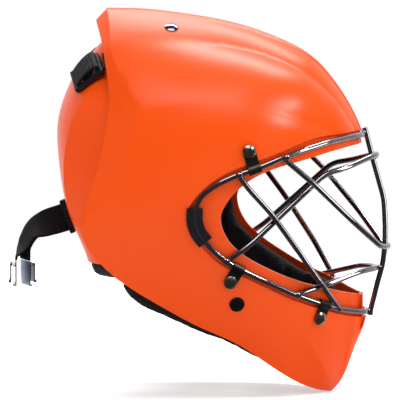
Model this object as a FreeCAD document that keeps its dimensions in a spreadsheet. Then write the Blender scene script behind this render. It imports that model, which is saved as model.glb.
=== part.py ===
import FreeCAD, Part
import math
import os

V = FreeCAD.Vector
doc = FreeCAD.newDocument("goalkeeper_helmet")

# Driving sizes, in millimetres and degrees. The origin is the middle of the wearer's head at ear
# height, +X towards the face, +Z up, so left and right mirror about Y = 0.
SIZES = [
    ("reach", 145, "head centre to the front of the chin guard"),
    ("half_width", 110, "head centre to the widest part of the shell"),
    ("rise", 153, "head centre to the crown of the shell"),
    ("shell_wall", 4, "wall of the front shell"),
    ("rebate_depth", 3, "step down from the shell to the lip that carries the cage"),
    ("lip_wall", 3.5, "wall of the lip"),
    ("lip_overlap", 4, "how far the lip runs under the shell wall"),
    ("ridge_flat", 9, "half width of the rounded ridge along the crown"),
    ("ridge_drop", 2.2, "drop from the ridge to the start of the roof facet"),
    ("plate_wall", 3.5, "wall of the back plate"),
    ("pad_gap", 0.3, "clearance between a pad and the wall behind it"),
    ("pad_thickness", 17, "foam inside the front shell"),
    ("back_pad_thickness", 15, "foam inside the back plate"),
    ("overrun", 20, "how far a cut runs past what it cuts"),
    ("wire_radius", 2.4, "radius of the round bars of the cage"),
    ("wire_bend", 60, "largest bend of a cage bar"),
    ("wire_stand", 0.5, "how far the ring's centre line stands out of the shell's outer form"),
    ("sleeve_radius", 6.9, "half width of the sleeve round the ring's rear bend"),
    ("sleeve_rise", 2.6, "how far the sleeve stands out of the shell"),
    ("clip_width", 11, "width of a cage clip"),
    ("clip_sheet", 1.4, "sheet thickness of a cage clip"),
    ("clip_gap", 0.15, "clearance of a clip to the bar and the shell"),
    ("screw_radius", 2.5, "shank of a cage screw"),
    ("screw_hole_radius", 2.7, "clearance hole of a cage screw"),
    ("screw_length", 11, "shank under the head of a cage screw"),
    ("screw_head_radius", 5.75, "head of a cage screw"),
    ("screw_head_height", 3.2, "head of a cage screw"),
    ("screw_head_round", 2.4, "rounding of the head"),
    ("screw_socket_width", 1.1, "width of the cross recess"),
    ("screw_socket_depth", 1.6, "depth of the cross recess"),
    ("nut_radius", 4.6, "across the corners of a cage nut"),
    ("nut_height", 4.2, "height of a cage nut"),
    ("nut_bore_radius", 2.55, "bore of a cage nut"),
    ("nut_clearance", 1.2, "room round a nut in the foam"),
    ("cap_radius", 6.4, "chin strap stud cap on the cheek"),
    ("cap_height", 2.6, "chin strap stud cap"),
    ("cap_round", 1.8, "rounding of the cap"),
    ("stud_radius", 1.9, "post of a stud or rivet through the shell"),
    ("rivet_radius", 6.0, "domed head of a crown rivet"),
    ("rivet_height", 2.2, "domed head of a crown rivet"),
    ("rivet_round", 1.6, "rounding of a crown rivet"),
    ("washer_radius", 7.0, "washer inside a crown rivet or stud"),
    ("washer_height", 1.2, "washer inside a crown rivet or stud"),
    ("web_width", 25, "webbing of the upper and lower straps"),
    ("web_thickness", 1.8, "webbing of the upper and lower straps"),
    ("fit_gap", 0.3, "clearance between pieces that move or that foam touches"),
    ("clip_lift", 0.5, "clip above the chord of the shell"),
    ("clip_drop", 1.3, "leg of a clip past the bar's middle"),
    ("screw_socket_length", 6.4, "length of the cross recess"),
    ("nut_stand", 0.4, "nut below the shell's inner wall"),
    ("seat_gap", 0.1, "domed head above the shell"),
    ("stud_hole_radius", 2.1, "hole of a stud or rivet"),
    ("pad_split", 8, "least distance of a side pad from the middle"),
    ("slot_height", 27, "slot of the lower strap in the back plate"),
    ("slot_width", 5, "slot of the lower strap in the back plate"),
    ("anchor_radius", 2, "pin behind the slot"),
    ("anchor_length", 31, "pin behind the slot"),
    ("anchor_clearance", 5, "room above and below the pin in the foam"),
    ("layer_gap", 0.3, "gap between layers of webbing and round the pin"),
    ("neck_pad_step", 2, "neck pad behind the plate's outside"),
    ("neck_pad_thickness", 15, "foam under the back plate"),
    ("strap_end", 7.5, "webbing past a rivet"),
    ("strap_stand", 0.65, "upper strap off the roof's inner wall at its rivet"),
    ("strap_sag", 2.8, "middle of the upper strap under the shell's inner wall"),
    ("strap_width", 24, "width of the lower strap"),
    ("chin_web_width", 20, "chin strap"),
    ("chin_web_thickness", 1.6, "chin strap"),
    ("chin_web_stand", 2.4, "chin strap inside the shell's wall"),
    ("chin_web_run", 10, "chin strap along the cheek before it turns inwards"),
    ("cup_radius", 29, "ball that the chin cup is part of"),
    ("cup_wall", 3, "wall of the chin cup"),
    ("buckle_length", 30, "upper buckle along the strap"),
    ("buckle_width", 31, "upper buckle across the strap"),
    ("buckle_thickness", 5, "upper buckle"),
    ("buckle_rail", 3, "frame round the buckle's slots"),
    ("buckle_gap", 4.6, "slot of the buckle along the strap"),
    ("strap_room", 1.5, "end of the upper strap before the buckle, which tilts there"),
    ("buckle_round", 1, "rounded edges of the buckle"),
    ("buckle_tooth", 1.4, "grooves of the buckle's thumb tab"),
    ("keeper_stand", 0.3, "keeper behind the plate"),
    ("keeper_thickness", 4.5, "keeper along the strap"),
    ("keeper_height", 30, "keeper across the strap"),
    ("keeper_width", 12, "keeper through both layers"),
    ("keeper_round", 1, "rounded edges of the keeper"),
    ("clasp_width", 25, "clasp across the strap"),
    ("clasp_length", 21, "clasp along the strap"),
    ("clasp_sheet", 1, "sheet of the clasp"),
    ("clasp_hang", 0.85, "clasp below the end of the webbing"),
    ("clasp_loop", 3, "ears of the clasp's frame"),
    ("clasp_bar_radius", 1.2, "rolled bars of the clasp"),
    ("clasp_bite", 3, "jaw of the clasp"),
    ("sounding", 1, "step at which the slope of a surface is taken"),
]
sheet = doc.addObject("Spreadsheet::Sheet", "Sizes")
for row, (alias, value, note) in enumerate(SIZES, 1):
    sheet.set("A%d" % row, alias)
    sheet.set("B%d" % row, str(value))
    sheet.set("C%d" % row, note)
    sheet.setAlias("B%d" % row, alias)
doc.recompute()


def size(alias):
    return float(sheet.get(alias))


REACH, HALF_WIDTH, RISE = size("reach"), size("half_width"), size("rise")

# Cross sections of the front shell's outer form, rear to front. Each row holds the station, the
# crown height, then the creases that run along the shell, from the top one down to the jaw edge,
# as (half width, height), then the keel height under them. Stations are shares of the reach,
# half widths of the half width, heights of the rise.
STATION_SHARES = (
    (-0.77, 0.993, (0.455, 0.797), (0.818, 0.366), (0.900, -0.196), (0.836, -0.380), (0.618, -0.732), -0.850),
    (-0.62, 1.000, (0.455, 0.807), (0.836, 0.405), (0.936, -0.105), (0.859, -0.392), (0.627, -0.745), -0.860),
    (-0.45, 0.998, (0.436, 0.821), (0.850, 0.452), (0.964, 0.033), (0.873, -0.438), (0.636, -0.778), -0.890),
    (-0.24, 0.987, (0.400, 0.836), (0.868, 0.505), (0.986, 0.176), (0.864, -0.510), (0.627, -0.856), -0.960),
    (0.00, 0.957, (0.345, 0.825), (0.864, 0.529), (0.982, 0.281), (0.823, -0.601), (0.564, -0.954), -1.050),
    (0.24, 0.910, (0.309, 0.792), (0.832, 0.523), (0.936, 0.343), (0.735, -0.742), (0.491, -1.059), -1.150),
    (0.43, 0.850, (0.291, 0.742), (0.764, 0.481), (0.850, 0.346), (0.660, -0.765), (0.418, -1.157), -1.220),
    (0.59, 0.780, (0.273, 0.675), (0.655, 0.425), (0.718, 0.320), (0.564, -0.739), (0.300, -1.190), -1.240),
    (0.71, 0.696, (0.245, 0.598), (0.518, 0.376), (0.568, 0.284), (0.382, -0.922), (0.127, -1.190), -1.210),
    (0.81, 0.583, (0.209, 0.500), (0.386, 0.327), (0.427, 0.248), (0.145, -1.046), (0.045, -1.127), -1.139),
    (0.88, 0.482, (0.164, 0.405), (0.277, 0.284), (0.305, 0.216), (0.090, -0.950), (0.045, -1.008), -1.024),
    (0.94, 0.370, (0.110, 0.300), (0.175, 0.225), (0.200, 0.165), (0.100, -0.805), (0.060, -0.852), -0.871),
    (0.99, 0.210, (0.070, 0.180), (0.105, 0.140), (0.125, 0.090), (0.110, -0.680), (0.075, -0.722), -0.740),
)
# How far each facet is crowned between its two creases at each station, as shares of half width.
CROWNING_SHARES = (
    (0.011, 0.027, 0.018, 0.010, 0.004),
    (0.011, 0.027, 0.018, 0.014, 0.004),
    (0.011, 0.032, 0.018, 0.027, 0.006),
    (0.011, 0.040, 0.016, 0.045, 0.006),
    (0.011, 0.048, 0.014, 0.050, 0.006),
    (0.014, 0.058, 0.014, 0.060, 0.006),
    (0.015, 0.066, 0.011, 0.055, 0.010),
    (0.016, 0.070, 0.009, 0.050, 0.014),
    (0.016, 0.060, 0.007, 0.085, 0.010),
    (0.014, 0.045, 0.005, 0.150, 0.004),
    (0.012, 0.030, 0.004, 0.135, 0.003),
    (0.009, 0.016, 0.003, 0.070, 0.003),
    (0.004, 0.006, 0.002, 0.025, 0.003),
)


def crowned(a, b, rise):
    """The point half way from a to b, moved outwards by rise in the plane of the section."""
    run = b - a
    out = V(0, -run.z, run.y).normalize()
    return (a + b) * 0.5 + out * rise


def station_points(shares, crowning):
    """One left half section: crown, creases with a crowned point between each two, keel."""
    x = shares[0] * REACH
    crown = V(x, 0, shares[1] * RISE)
    creases = [V(x, size("ridge_flat") * min(1, 2 * shares[2][0]), crown.z - size("ridge_drop"))]
    creases += [V(x, y * HALF_WIDTH, z * RISE) for y, z in shares[2:-1]]
    points = [crown]
    for a, b, share in zip(creases, creases[1:], crowning):
        points += [a, crowned(a, b, share * HALF_WIDTH)]
    return points + [creases[-1], V(x, 0, shares[-1] * RISE)]


HULL_GRID = [station_points(s, c) for s, c in zip(STATION_SHARES, CROWNING_SHARES)]


# The least part of a half width that an inset leaves.
NARROWEST_SHARE = 0.3
# How far the form leans back at each station: the share of an inset that goes along X there.
LEAN_SHARES = (0, 0, 0, 0, 0.05, 0.15, 0.28, 0.42, 0.58, 0.70, 0.80, 0.88, 0.94)


def mirrored(p):
    return V(p.x, -p.y, p.z)


def inset_grid(grid, inset):
    """Moves every point of a grid of half sections inwards, square to the surface."""
    moved = []
    for points, lean in zip(grid, LEAN_SHARES):
        row = []
        for j, p in enumerate(points):
            up = points[j - 1] if j else mirrored(points[1])
            down = points[j + 1] if j < len(points) - 1 else mirrored(points[j - 1])
            out = V(1, 0, 0).cross(down - up).normalize()
            q = p - out * inset * math.sqrt(1 - lean * lean) - V(inset * lean, 0, 0)
            row.append(V(q.x, max(q.y, p.y * NARROWEST_SHARE), q.z))
        moved.append(row)
    return moved


def section_wire(points):
    """A closed section from a left half: arcs through each crowned point, and their mirrors."""
    left, right = points, [mirrored(p) for p in points]
    edges = [Part.Arc(right[1], left[0], left[1]).toShape()]
    for k in range(1, len(points) - 2, 2):
        edges.append(Part.Arc(left[k], left[k + 1], left[k + 2]).toShape())
    edges.append(Part.Arc(left[-2], left[-1], right[-2]).toShape())
    for k in range(len(points) - 2, 1, -2):
        edges.append(Part.Arc(right[k], right[k - 1], right[k - 2]).toShape())
    return Part.Wire(edges)


def hull(inset, count=len(HULL_GRID)):
    grid = inset_grid(HULL_GRID[:count], inset)
    return Part.makeLoft([section_wire(row) for row in grid], True, False, False, 3)


def in_profile(shares):
    """Points of a side view outline, from shares of the reach and the rise."""
    return [V(x * REACH, 0, z * RISE) for x, z in shares]


def prism(edges):
    """A solid that stands on a closed side view outline and runs past both sides of the helmet."""
    deep = HALF_WIDTH + size("overrun")
    face = Part.Face(Part.Wire(edges))
    face.translate(V(0, -deep, 0))
    return face.extrude(V(0, 2 * deep, 0))


def curve(points):
    line = Part.BSplineCurve()
    line.interpolate(points)
    return line.toShape()


def polyline(points):
    return [Part.LineSegment(a, b).toShape() for a, b in zip(points, points[1:])]


# Side view of the front shell: the rear edge from the crown down, then the jaw line to the chin.
REAR_EDGE_SHARES = (
    (-0.665, 1.080), (-0.618, 0.931), (-0.572, 0.845), (-0.520, 0.680), (-0.492, 0.490),
    (-0.505, 0.384), (-0.530, 0.242), (-0.574, 0.078), (-0.612, -0.040), (-0.634, -0.160),
    (-0.614, -0.271), (-0.561, -0.351), (-0.437, -0.467),
)
JAW_LINE_SHARES = (
    (-0.437, -0.467), (-0.308, -0.550), (-0.158, -0.637), (0.043, -0.744), (0.266, -0.846),
    (0.404, -0.940), (0.552, -1.047), (0.657, -1.111), (0.763, -1.152), (0.840, -1.165),
)
OUTSIDE_SHARES = ((0.840, -1.165), (1.150, -1.250), (1.150, 1.150), (-0.665, 1.080))
# Side view of the step round the face opening, and of the opening itself, brow to chin.
REBATE_SHARES = (
    (1.060, 0.325), (0.935, 0.318), (0.800, 0.313), (0.700, 0.302), (0.575, 0.259), (0.408, 0.201),
    (0.319, 0.172), (0.133, 0.084), (0.030, -0.010), (-0.018, -0.090), (-0.010, -0.180),
    (0.039, -0.244), (0.110, -0.327), (0.207, -0.400), (0.428, -0.513), (0.580, -0.592),
    (0.731, -0.654), (0.890, -0.712), (1.060, -0.740),
)
OPENING_SHARES = (
    (1.060, 0.262), (0.930, 0.244), (0.778, 0.218), (0.678, 0.194), (0.536, 0.162), (0.390, 0.112),
    (0.302, 0.058), (0.203, -0.047), (0.176, -0.105), (0.191, -0.201), (0.243, -0.280),
    (0.353, -0.364), (0.499, -0.442), (0.641, -0.503), (0.786, -0.550), (0.923, -0.596),
    (1.060, -0.606),
)


def open_front(shares, growth=0):
    """The prism of an opening whose outline runs out past the front of the helmet."""
    points = in_profile(shares)
    last = len(points) - 1
    grown = []
    for i, p in enumerate(points):
        along = points[min(i + 1, last)] - points[max(i - 1, 0)]
        grown.append(p + V(along.z, 0, -along.x).normalize() * growth)
    return prism([curve(grown)] + polyline([grown[-1], grown[0]]))


# The shell's rear border is turned in: past these stations along each line of the grid it leaves
# the hull's form, by this much for each millimetre further back.
HOOD_START_SHARES = (
    -0.550, -0.545, -0.520, -0.503, -0.460, -0.419, -0.470, -0.607, -0.660, -0.660, -0.660, -0.660, -0.660,
)
HOOD_SLOPE_SHARES = (1.05, 1.00, 0.85, 0.80, 0.65, 0.57, 0.50, 0.30, 0.30, 0.30, 0.30, 0.30, 0.30)
HOOD_STATION_SHARES = (-0.77, 1.15)


def hood(inset):
    """What the turned-in rear border leaves of the shell's form."""
    base = HULL_GRID[1]
    wires = []
    for station in HOOD_STATION_SHARES:
        row = []
        for j, b in enumerate(base):
            up = base[j - 1] if j else mirrored(base[1])
            down = base[j + 1] if j < len(base) - 1 else mirrored(base[j - 1])
            out = V(1, 0, 0).cross(down - up).normalize()
            grow = (station - HOOD_START_SHARES[j]) * REACH * HOOD_SLOPE_SHARES[j]
            p = b + out * (grow - inset * math.sqrt(1 + HOOD_SLOPE_SHARES[j] ** 2))
            row.append(V(station * REACH, p.y if b.y else 0, p.z))
        wires.append(section_wire(row))
    return Part.makeLoft(wires, True, True)


def shell_form(inset):
    """The outer form of the shell moved inwards, with its rear border turned in."""
    return hull(inset).common(hood(inset))


FORM = hull(0)


def leaves(form, start, direction):
    """Where a line that starts inside a form leaves it."""
    line = Part.makeLine(start, start + direction * 2 * REACH)
    points = [v.Point for v in form.common(line).Vertexes]
    return max(points, key=lambda p: (p - start).dot(direction))


def on_side(form, x, z):
    """The point of a form's left side at a place of the side view."""
    return leaves(form, V(x, 0, z), V(0, 1, 0))


def on_roof(form, x, y):
    return leaves(form, V(x, y, 0), V(0, 0, 1))


def side_normal(form, x, z):
    """The direction square to a form's left side at a place of the side view."""
    step = size("sounding")
    here = on_side(form, x, z)
    return (on_side(form, x, z + step) - here).cross(on_side(form, x + step, z) - here).normalize()


def roof_normal(form, x, y):
    step = size("sounding")
    here = on_roof(form, x, y)
    return (on_roof(form, x + step, y) - here).cross(on_roof(form, x, y + step) - here).normalize()


def flipped(p, way):
    """A point of the left side, or for a way of -1 its mirror on the right."""
    return V(p.x, p.y * way, p.z)


def largest(shape):
    """The main solid of a cut shape."""
    return max(shape.Solids, key=lambda solid: solid.Volume)


def both_sides(shape):
    """A shape and its mirror on the other side of the helmet."""
    return [shape, shape.mirror(V(0, 0, 0), V(0, 1, 0))]


def solids_of(shapes):
    return Part.Compound([solid for shape in shapes for solid in shape.Solids])


def keep_part(label, shape):
    """Gives a finished shape its place in the document under its node's name."""
    item = doc.addObject("Part::Feature", label)
    item.Label = label
    item.Shape = shape
    return item


PARTS = []


def add_part(label, shape):
    PARTS.append(keep_part(label, shape))
    return shape


# Front shell: one moulded shell that wraps the crown, cheeks and chin, with the wall stepped down
# round the face opening to carry the cage.
def make_front_shell():
    wall, step, lip = size("shell_wall"), size("rebate_depth"), size("lip_wall")
    profile = prism([curve(in_profile(REAR_EDGE_SHARES)), curve(in_profile(JAW_LINE_SHARES))]
                    + polyline(in_profile(OUTSIDE_SHARES)))
    rebate = open_front(REBATE_SHARES).cut(hull(step))
    keep = open_front(REBATE_SHARES, size("lip_overlap")).cut(hull(step + lip))
    around = profile.cut(open_front(OPENING_SHARES))
    outer = shell_form(0).cut(rebate).common(around)
    return outer.cut(shell_form(wall).cut(keep))


# Bars of the cage. Every bar is a round wire whose path is straight runs joined by bends, and a
# bend uses this share of the shorter run beside it.
BEND_SHARE = 0.45


def rounded_path(points, largest):
    """Straight runs joined by tangent arcs, each as large as its runs allow."""
    edges, start = [], points[0]
    for a, b, c in zip(points, points[1:], points[2:]):
        back, on = (a - b).normalize(), (c - b).normalize()
        half = (math.pi - back.getAngle(on)) / 2
        shorter = min((a - b).Length, (c - b).Length)
        radius = min(largest, BEND_SHARE * shorter / math.tan(half))
        cut = radius * math.tan(half)
        middle = b + (back + on).normalize() * (radius / math.cos(half) - radius)
        first, last = b + back * cut, b + on * cut
        edges.append(Part.LineSegment(start, first).toShape())
        edges.append(Part.Arc(first, middle, last).toShape())
        start = last
    edges.append(Part.LineSegment(start, points[-1]).toShape())
    return Part.Wire(edges)


def bar(points, radius):
    """A round bar along a bent path."""
    path = rounded_path(points, size("wire_bend"))
    ring = Part.Wire(Part.makeCircle(radius, points[0], points[1] - points[0]))
    return path.makePipeShell([ring], True, False)


def in_space(shares):
    return [V(x * REACH, y * HALF_WIDTH, z * RISE) for x, y, z in shares]


# The ring follows the shell round the face opening: side view places of its left half, brow to
# chin, and how far it runs straight across at both ends.
RING_SHARES = (
    (0.924, 0.295), (0.783, 0.277), (0.646, 0.245), (0.517, 0.204), (0.384, 0.154), (0.274, 0.121),
    (0.169, 0.078), (0.069, 0.013), (0.028, -0.063), (0.024, -0.131), (0.045, -0.203),
    (0.130, -0.301), (0.219, -0.375), (0.301, -0.419), (0.428, -0.482), (0.586, -0.561),
    (0.734, -0.625), (0.843, -0.669), (0.938, -0.693),
)
RING_BROW_SHARES = ((0.966, 0.000, 0.296), (0.966, 0.085, 0.296))
RING_CHIN_SHARES = ((0.988, 0.064, -0.705), (0.988, 0.000, -0.705))
# The stretch that the sleeve covers, counted along the ring's places.
SLEEVED = (8, 11)
CENTRE_BAR_SHARES = (
    (0.978, 0, 0.332), (0.986, 0, 0.307), (1.027, 0, 0.159), (1.095, 0, -0.071), (1.103, 0, -0.222),
    (1.103, 0, -0.327), (1.088, 0, -0.438), (1.057, 0, -0.546), (1.017, 0, -0.699),
    (1.014, 0, -0.727),
)
# Left halves of the other bars, from where they are welded to the ring.
SIDE_BAR_SHARES = ((0.468, 0.768, -0.108), (0.648, 0.673, -0.358), (0.761, 0.527, -0.533))
SIDE_BAR_END_SHARES = ((0.279, 0.1225), (0.843, -0.669))
CROSSING_BAR_SHARES = (
    (0.713, 0.655, 0.052), (0.921, 0.436, -0.160), (1.083, 0.127, -0.333), (1.131, 0, -0.334),
)
CROSSING_END_SHARES = (0.532, 0.2085)
UPPER_LOOP_SHARES = ((0.766, 0.455, 0.101), (0.885, 0.345, 0.127), (1.026, 0.091, 0.176), (1.058, 0, 0.183))
UPPER_LOOP_END_SHARES = (0.205, -0.362)
# Where the loop and the side bars pass over the lip's edge.
UPPER_LOOP_LIP_SHARES = (0.330, -0.285)
SIDE_BAR_LIP_SHARES = (0.335, 0.045)
LOWER_LOOP_SHARES = ((0.788, 0.455, -0.516), (0.958, 0.255, -0.464), (1.078, 0, -0.456))
LOWER_LOOP_END_SHARES = (0.600, -0.567)


def ring_place(form, place):
    return on_side(form, place[0] * REACH, place[1] * RISE)


def ring_points(along):
    return in_space(RING_BROW_SHARES) + along + in_space(RING_CHIN_SHARES)


def make_cage():
    """The ring, the centre bar, the crossing bars and the two side bars."""
    seat = hull(-size("wire_stand"))
    radius = size("wire_radius")
    along = [ring_place(seat, place) for place in RING_SHARES]
    half = bar(ring_points(along), radius)
    ring = half.fuse(half.mirror(V(0, 0, 0), V(0, 1, 0)))
    centre = bar(in_space(CENTRE_BAR_SHARES), radius).cut(ring)

    def across(left, shares):
        left = left + in_space(shares)
        return bar(left + [mirrored(p) for p in reversed(left[:-1])], radius)

    crossing = across([ring_place(seat, CROSSING_END_SHARES)], CROSSING_BAR_SHARES).cut(ring.fuse(centre))
    start = [ring_place(seat, UPPER_LOOP_END_SHARES), ring_place(FORM, UPPER_LOOP_LIP_SHARES)]
    upper = across(start, UPPER_LOOP_SHARES).cut(ring.fuse(centre))
    first, last = [ring_place(seat, place) for place in SIDE_BAR_END_SHARES]
    points = [first, ring_place(FORM, SIDE_BAR_LIP_SHARES)] + in_space(SIDE_BAR_SHARES) + [last]
    side = [bar([flipped(p, way) for p in points], radius).cut(ring).cut(upper) for way in (1, -1)]
    side = Part.Compound([largest(one) for one in side])
    start = [ring_place(seat, LOWER_LOOP_END_SHARES)]
    lower = across(start, LOWER_LOOP_SHARES).cut(ring.fuse(centre)).cut(side)
    return along, ring, centre, crossing, upper, lower, side


# Back plate: level sections of its outside, bottom to top. Each row holds the height, the rear
# centre, then the crease and the front edge as (station, half width).
PLATE_SHARES = (
    (-0.520, -0.625, (-0.600, 0.236), (-0.359, 0.690)),
    (-0.425, -0.669, (-0.634, 0.255), (-0.359, 0.720)),
    (-0.327, -0.706, (-0.669, 0.273), (-0.359, 0.760)),
    (-0.078, -0.803, (-0.775, 0.290), (-0.359, 0.815)),
    (0.163, -0.841, (-0.783, 0.382), (-0.359, 0.815)),
    (0.327, -0.848, (-0.745, 0.473), (-0.359, 0.760)),
    (0.490, -0.810, (-0.660, 0.560), (-0.359, 0.690)),
    (0.610, -0.755, (-0.580, 0.480), (-0.359, 0.560)),
    (0.732, -0.659, (-0.520, 0.340), (-0.359, 0.390)),
    (0.850, -0.560, (-0.450, 0.230), (-0.359, 0.260)),
)
PLATE_BULGE_SHARE = 0.012
# How far each section's sides run from the crease, as a share of the reach.
PLATE_RUN_SHARE = 0.60
# The front edge of the plate.
PLATE_FRONT_SHARE = -0.386
PLATE_HEIGHT_SHARES = (-0.425, 0.797)
# Where the strap's slot stands in the plate, and how high the anchor bar's middle lies.
SLOT_SHARE = -0.176


def plate_section(shares, inset):
    """A level section of the back plate's outside moved inwards; its sides run on past the front edge."""
    height, rear, crease, edge = shares
    z = height * RISE
    back = V(rear * REACH + inset, 0, z)
    turn = V(crease[0] * REACH, crease[1] * HALF_WIDTH, z)
    run = (V(edge[0] * REACH, edge[1] * HALF_WIDTH, z) - turn).normalize()
    out = V(-run.y, run.x, 0)
    corner = (out + V(-1, 0, 0)).normalize()
    start = turn - corner * (inset / corner.dot(out))
    side = turn + run * (REACH * PLATE_RUN_SHARE) - out * inset
    bulge = (start + side) * 0.5 + out * PLATE_BULGE_SHARE * HALF_WIDTH
    edges = [Part.Arc(mirrored(start), back, start).toShape(), Part.Arc(start, bulge, side).toShape(),
             Part.LineSegment(side, mirrored(side)).toShape(),
             Part.Arc(mirrored(side), mirrored(bulge), mirrored(start)).toShape()]
    return Part.Wire(edges)


def plate_form(inset):
    return Part.makeLoft([plate_section(row, inset) for row in PLATE_SHARES], True, False, False, 3)


def slab(x_range, y_range, z_range):
    """A box between two values on each axis."""
    low = V(x_range[0], y_range[0], z_range[0])
    high = V(x_range[1], y_range[1], z_range[1])
    room = high - low
    return Part.makeBox(room.x, room.y, room.z, low)


def level_slab(low, high):
    far = 2 * REACH
    return slab((-far, far), (-far, far), (low, high))


def rearward(share):
    """All that lies behind a station."""
    return slab((-2 * REACH, share * REACH), (-2 * HALF_WIDTH, 2 * HALF_WIDTH), (-2 * RISE, 2 * RISE))


def rear_place():
    """The middle of the strap's slot on the plate's outside: Z up the plate, X into it."""
    form = plate_form(0)
    half = size("slot_height") / 2
    inside = V(PLATE_FRONT_SHARE * REACH, 0, SLOT_SHARE * RISE)
    low, high = [leaves(form, inside + V(0, 0, up), V(-1, 0, 0)) for up in (-half, half)]
    up = (high - low).normalize()
    return standing(leaves(form, inside, V(-1, 0, 0)), up, V(up.z, 0, -up.x))


def make_back_plate(rear):
    low, high = [share * RISE for share in PLATE_HEIGHT_SHARES]
    plate = plate_form(0).cut(plate_form(size("plate_wall")))
    plate = plate.common(level_slab(low, high)).common(rearward(PLATE_FRONT_SHARE))
    half, side = size("slot_height") / 2, size("slot_width") / 2
    deep = size("overrun")
    return plate.cut(placed(slab((-deep, deep), (-side, side), (-half, half)), rear))


# Foam inside the plate and under its lower edge.
BACK_PAD_SHARES = (-0.425, 0.690)
BACK_PAD_FRONT_SHARE = -0.430
NECK_PAD_SHARES = (-0.500, -0.427)
NECK_PAD_FRONT_SHARE = -0.460
POCKET_SHARE = 0.16


def plate_foam(clear, thick, heights, front):
    ring = plate_form(clear).cut(plate_form(clear + thick))
    low, high = [share * RISE for share in heights]
    return ring.common(level_slab(low, high)).common(rearward(front))


def make_back_pad(rear):
    clear = size("plate_wall") + size("pad_gap")
    pad = plate_foam(clear, size("back_pad_thickness"), BACK_PAD_SHARES, BACK_PAD_FRONT_SHARE)
    half = size("slot_height") / 2 + size("anchor_clearance")
    side = POCKET_SHARE * HALF_WIDTH
    deep = 2 * size("overrun")
    return pad.cut(placed(slab((-deep, deep), (-side, side), (-half, half)), rear))


def make_neck_pad():
    step, thick = size("neck_pad_step"), size("neck_pad_thickness")
    return plate_foam(step, thick, NECK_PAD_SHARES, NECK_PAD_FRONT_SHARE)


# Foam inside the front shell: side view outlines of the pads, and the crown pad's limits.
JAW_PAD_SHARES = (
    (-0.428, -0.505), (-0.410, -0.545), (-0.345, -0.611), (-0.193, -0.683), (0.041, -0.788),
    (0.179, -0.843), (0.303, -0.905), (0.386, -0.941), (0.483, -0.974), (0.621, -0.980),
    (0.724, -0.882), (0.814, -0.686), (0.772, -0.569), (0.641, -0.523), (0.497, -0.461),
    (0.352, -0.386), (0.234, -0.301), (0.172, -0.216), (0.152, -0.131), (0.138, -0.078),
)
JAW_PAD_TOP_SHARES = ((0.138, -0.078), (-0.340, -0.078), (-0.340, -0.490), (-0.428, -0.505))
TEMPLE_PAD_SHARES = (
    (-0.340, -0.033), (-0.083, -0.033), (-0.041, 0.078), (0.069, 0.144), (0.262, 0.248),
    (0.262, 0.458), (-0.320, 0.431), (-0.340, -0.033),
)
FOREHEAD_PAD_SHARES = (
    (0.441, 0.376), (0.800, 0.376), (0.740, 0.601), (0.441, 0.654), (0.441, 0.376),
)
CROWN_PAD_SHARES = (-0.050, 0.400)
CROWN_PAD_FLOOR_SHARE = 0.520
PADDED_STATIONS = 11


def pad_layer(clear, thick):
    return hull(clear, PADDED_STATIONS).cut(hull(clear + thick, PADDED_STATIONS))


def half_space(way):
    low, high = sorted((size("pad_split") * way, 2 * HALF_WIDTH * way))
    return slab((-2 * REACH, 2 * REACH), (low, high), (-2 * RISE, 2 * RISE))


def make_pads(sockets, channels):
    """The pads of the front shell, with pockets for the nuts and washers behind them."""
    deep = size("rebate_depth") + size("lip_wall") + size("pad_gap")
    shallow = size("shell_wall") + size("pad_gap")
    thick = size("pad_thickness")
    jaw = prism([curve(in_profile(JAW_PAD_SHARES))] + polyline(in_profile(JAW_PAD_TOP_SHARES)))
    jaw = pad_layer(deep, thick).common(jaw)
    upper = pad_layer(shallow, thick)
    temple = upper.common(prism(polyline(in_profile(TEMPLE_PAD_SHARES))))
    crown = slab([share * REACH for share in CROWN_PAD_SHARES], (-HALF_WIDTH, HALF_WIDTH),
                 (CROWN_PAD_FLOOR_SHARE * RISE, 2 * RISE))
    pads = {"crown_pad": upper.common(crown),
            "forehead_pad": upper.common(prism(polyline(in_profile(FOREHEAD_PAD_SHARES))))}
    for name, way in (("left", 1), ("right", -1)):
        for kind, pad in (("jaw_pad_", jaw), ("temple_pad_", temple)):
            pads[kind + name] = pad.common(half_space(way)).cut(channels[way])
    for name, pad in pads.items():
        add_part(name, largest(pad.cut(sockets)))


# Round pieces that are turned: a domed head or cap, on its post.
def bound(kind, name, **cells):
    """A document object whose sizes follow cells of the sheet."""
    item = doc.addObject(kind, name)
    for prop, cell in cells.items():
        item.setExpression(prop, cell)
    return item


def combined(kind, name, base, tool):
    item = doc.addObject(kind, name)
    item.Base, item.Tool = base, tool
    return item


def domed(name, radius, height, rounding):
    """A low dome on the plane Z = 0: a disc whose rim is cut down by a ball."""
    disc = bound("Part::Cylinder", name + "_disc", Radius="Sizes." + radius, Height="Sizes." + height)
    ball_radius = "(Sizes.%s ^ 2 + Sizes.%s ^ 2) / (2 * Sizes.%s)" % (radius, rounding, rounding)
    ball = bound("Part::Sphere", name + "_ball", Radius=ball_radius)
    ball.setExpression("Placement.Base.z", "Sizes.%s - %s" % (height, ball_radius))
    return combined("Part::Common", name + "_dome", disc, ball)


def posted(name, dome, radius, length):
    """A dome with a straight post under it."""
    post = bound("Part::Cylinder", name + "_post", Radius="Sizes." + radius, Height=length)
    post.setExpression("Placement.Base.z", "-(%s)" % length)
    return combined("Part::Fuse", name, dome, post)


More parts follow.
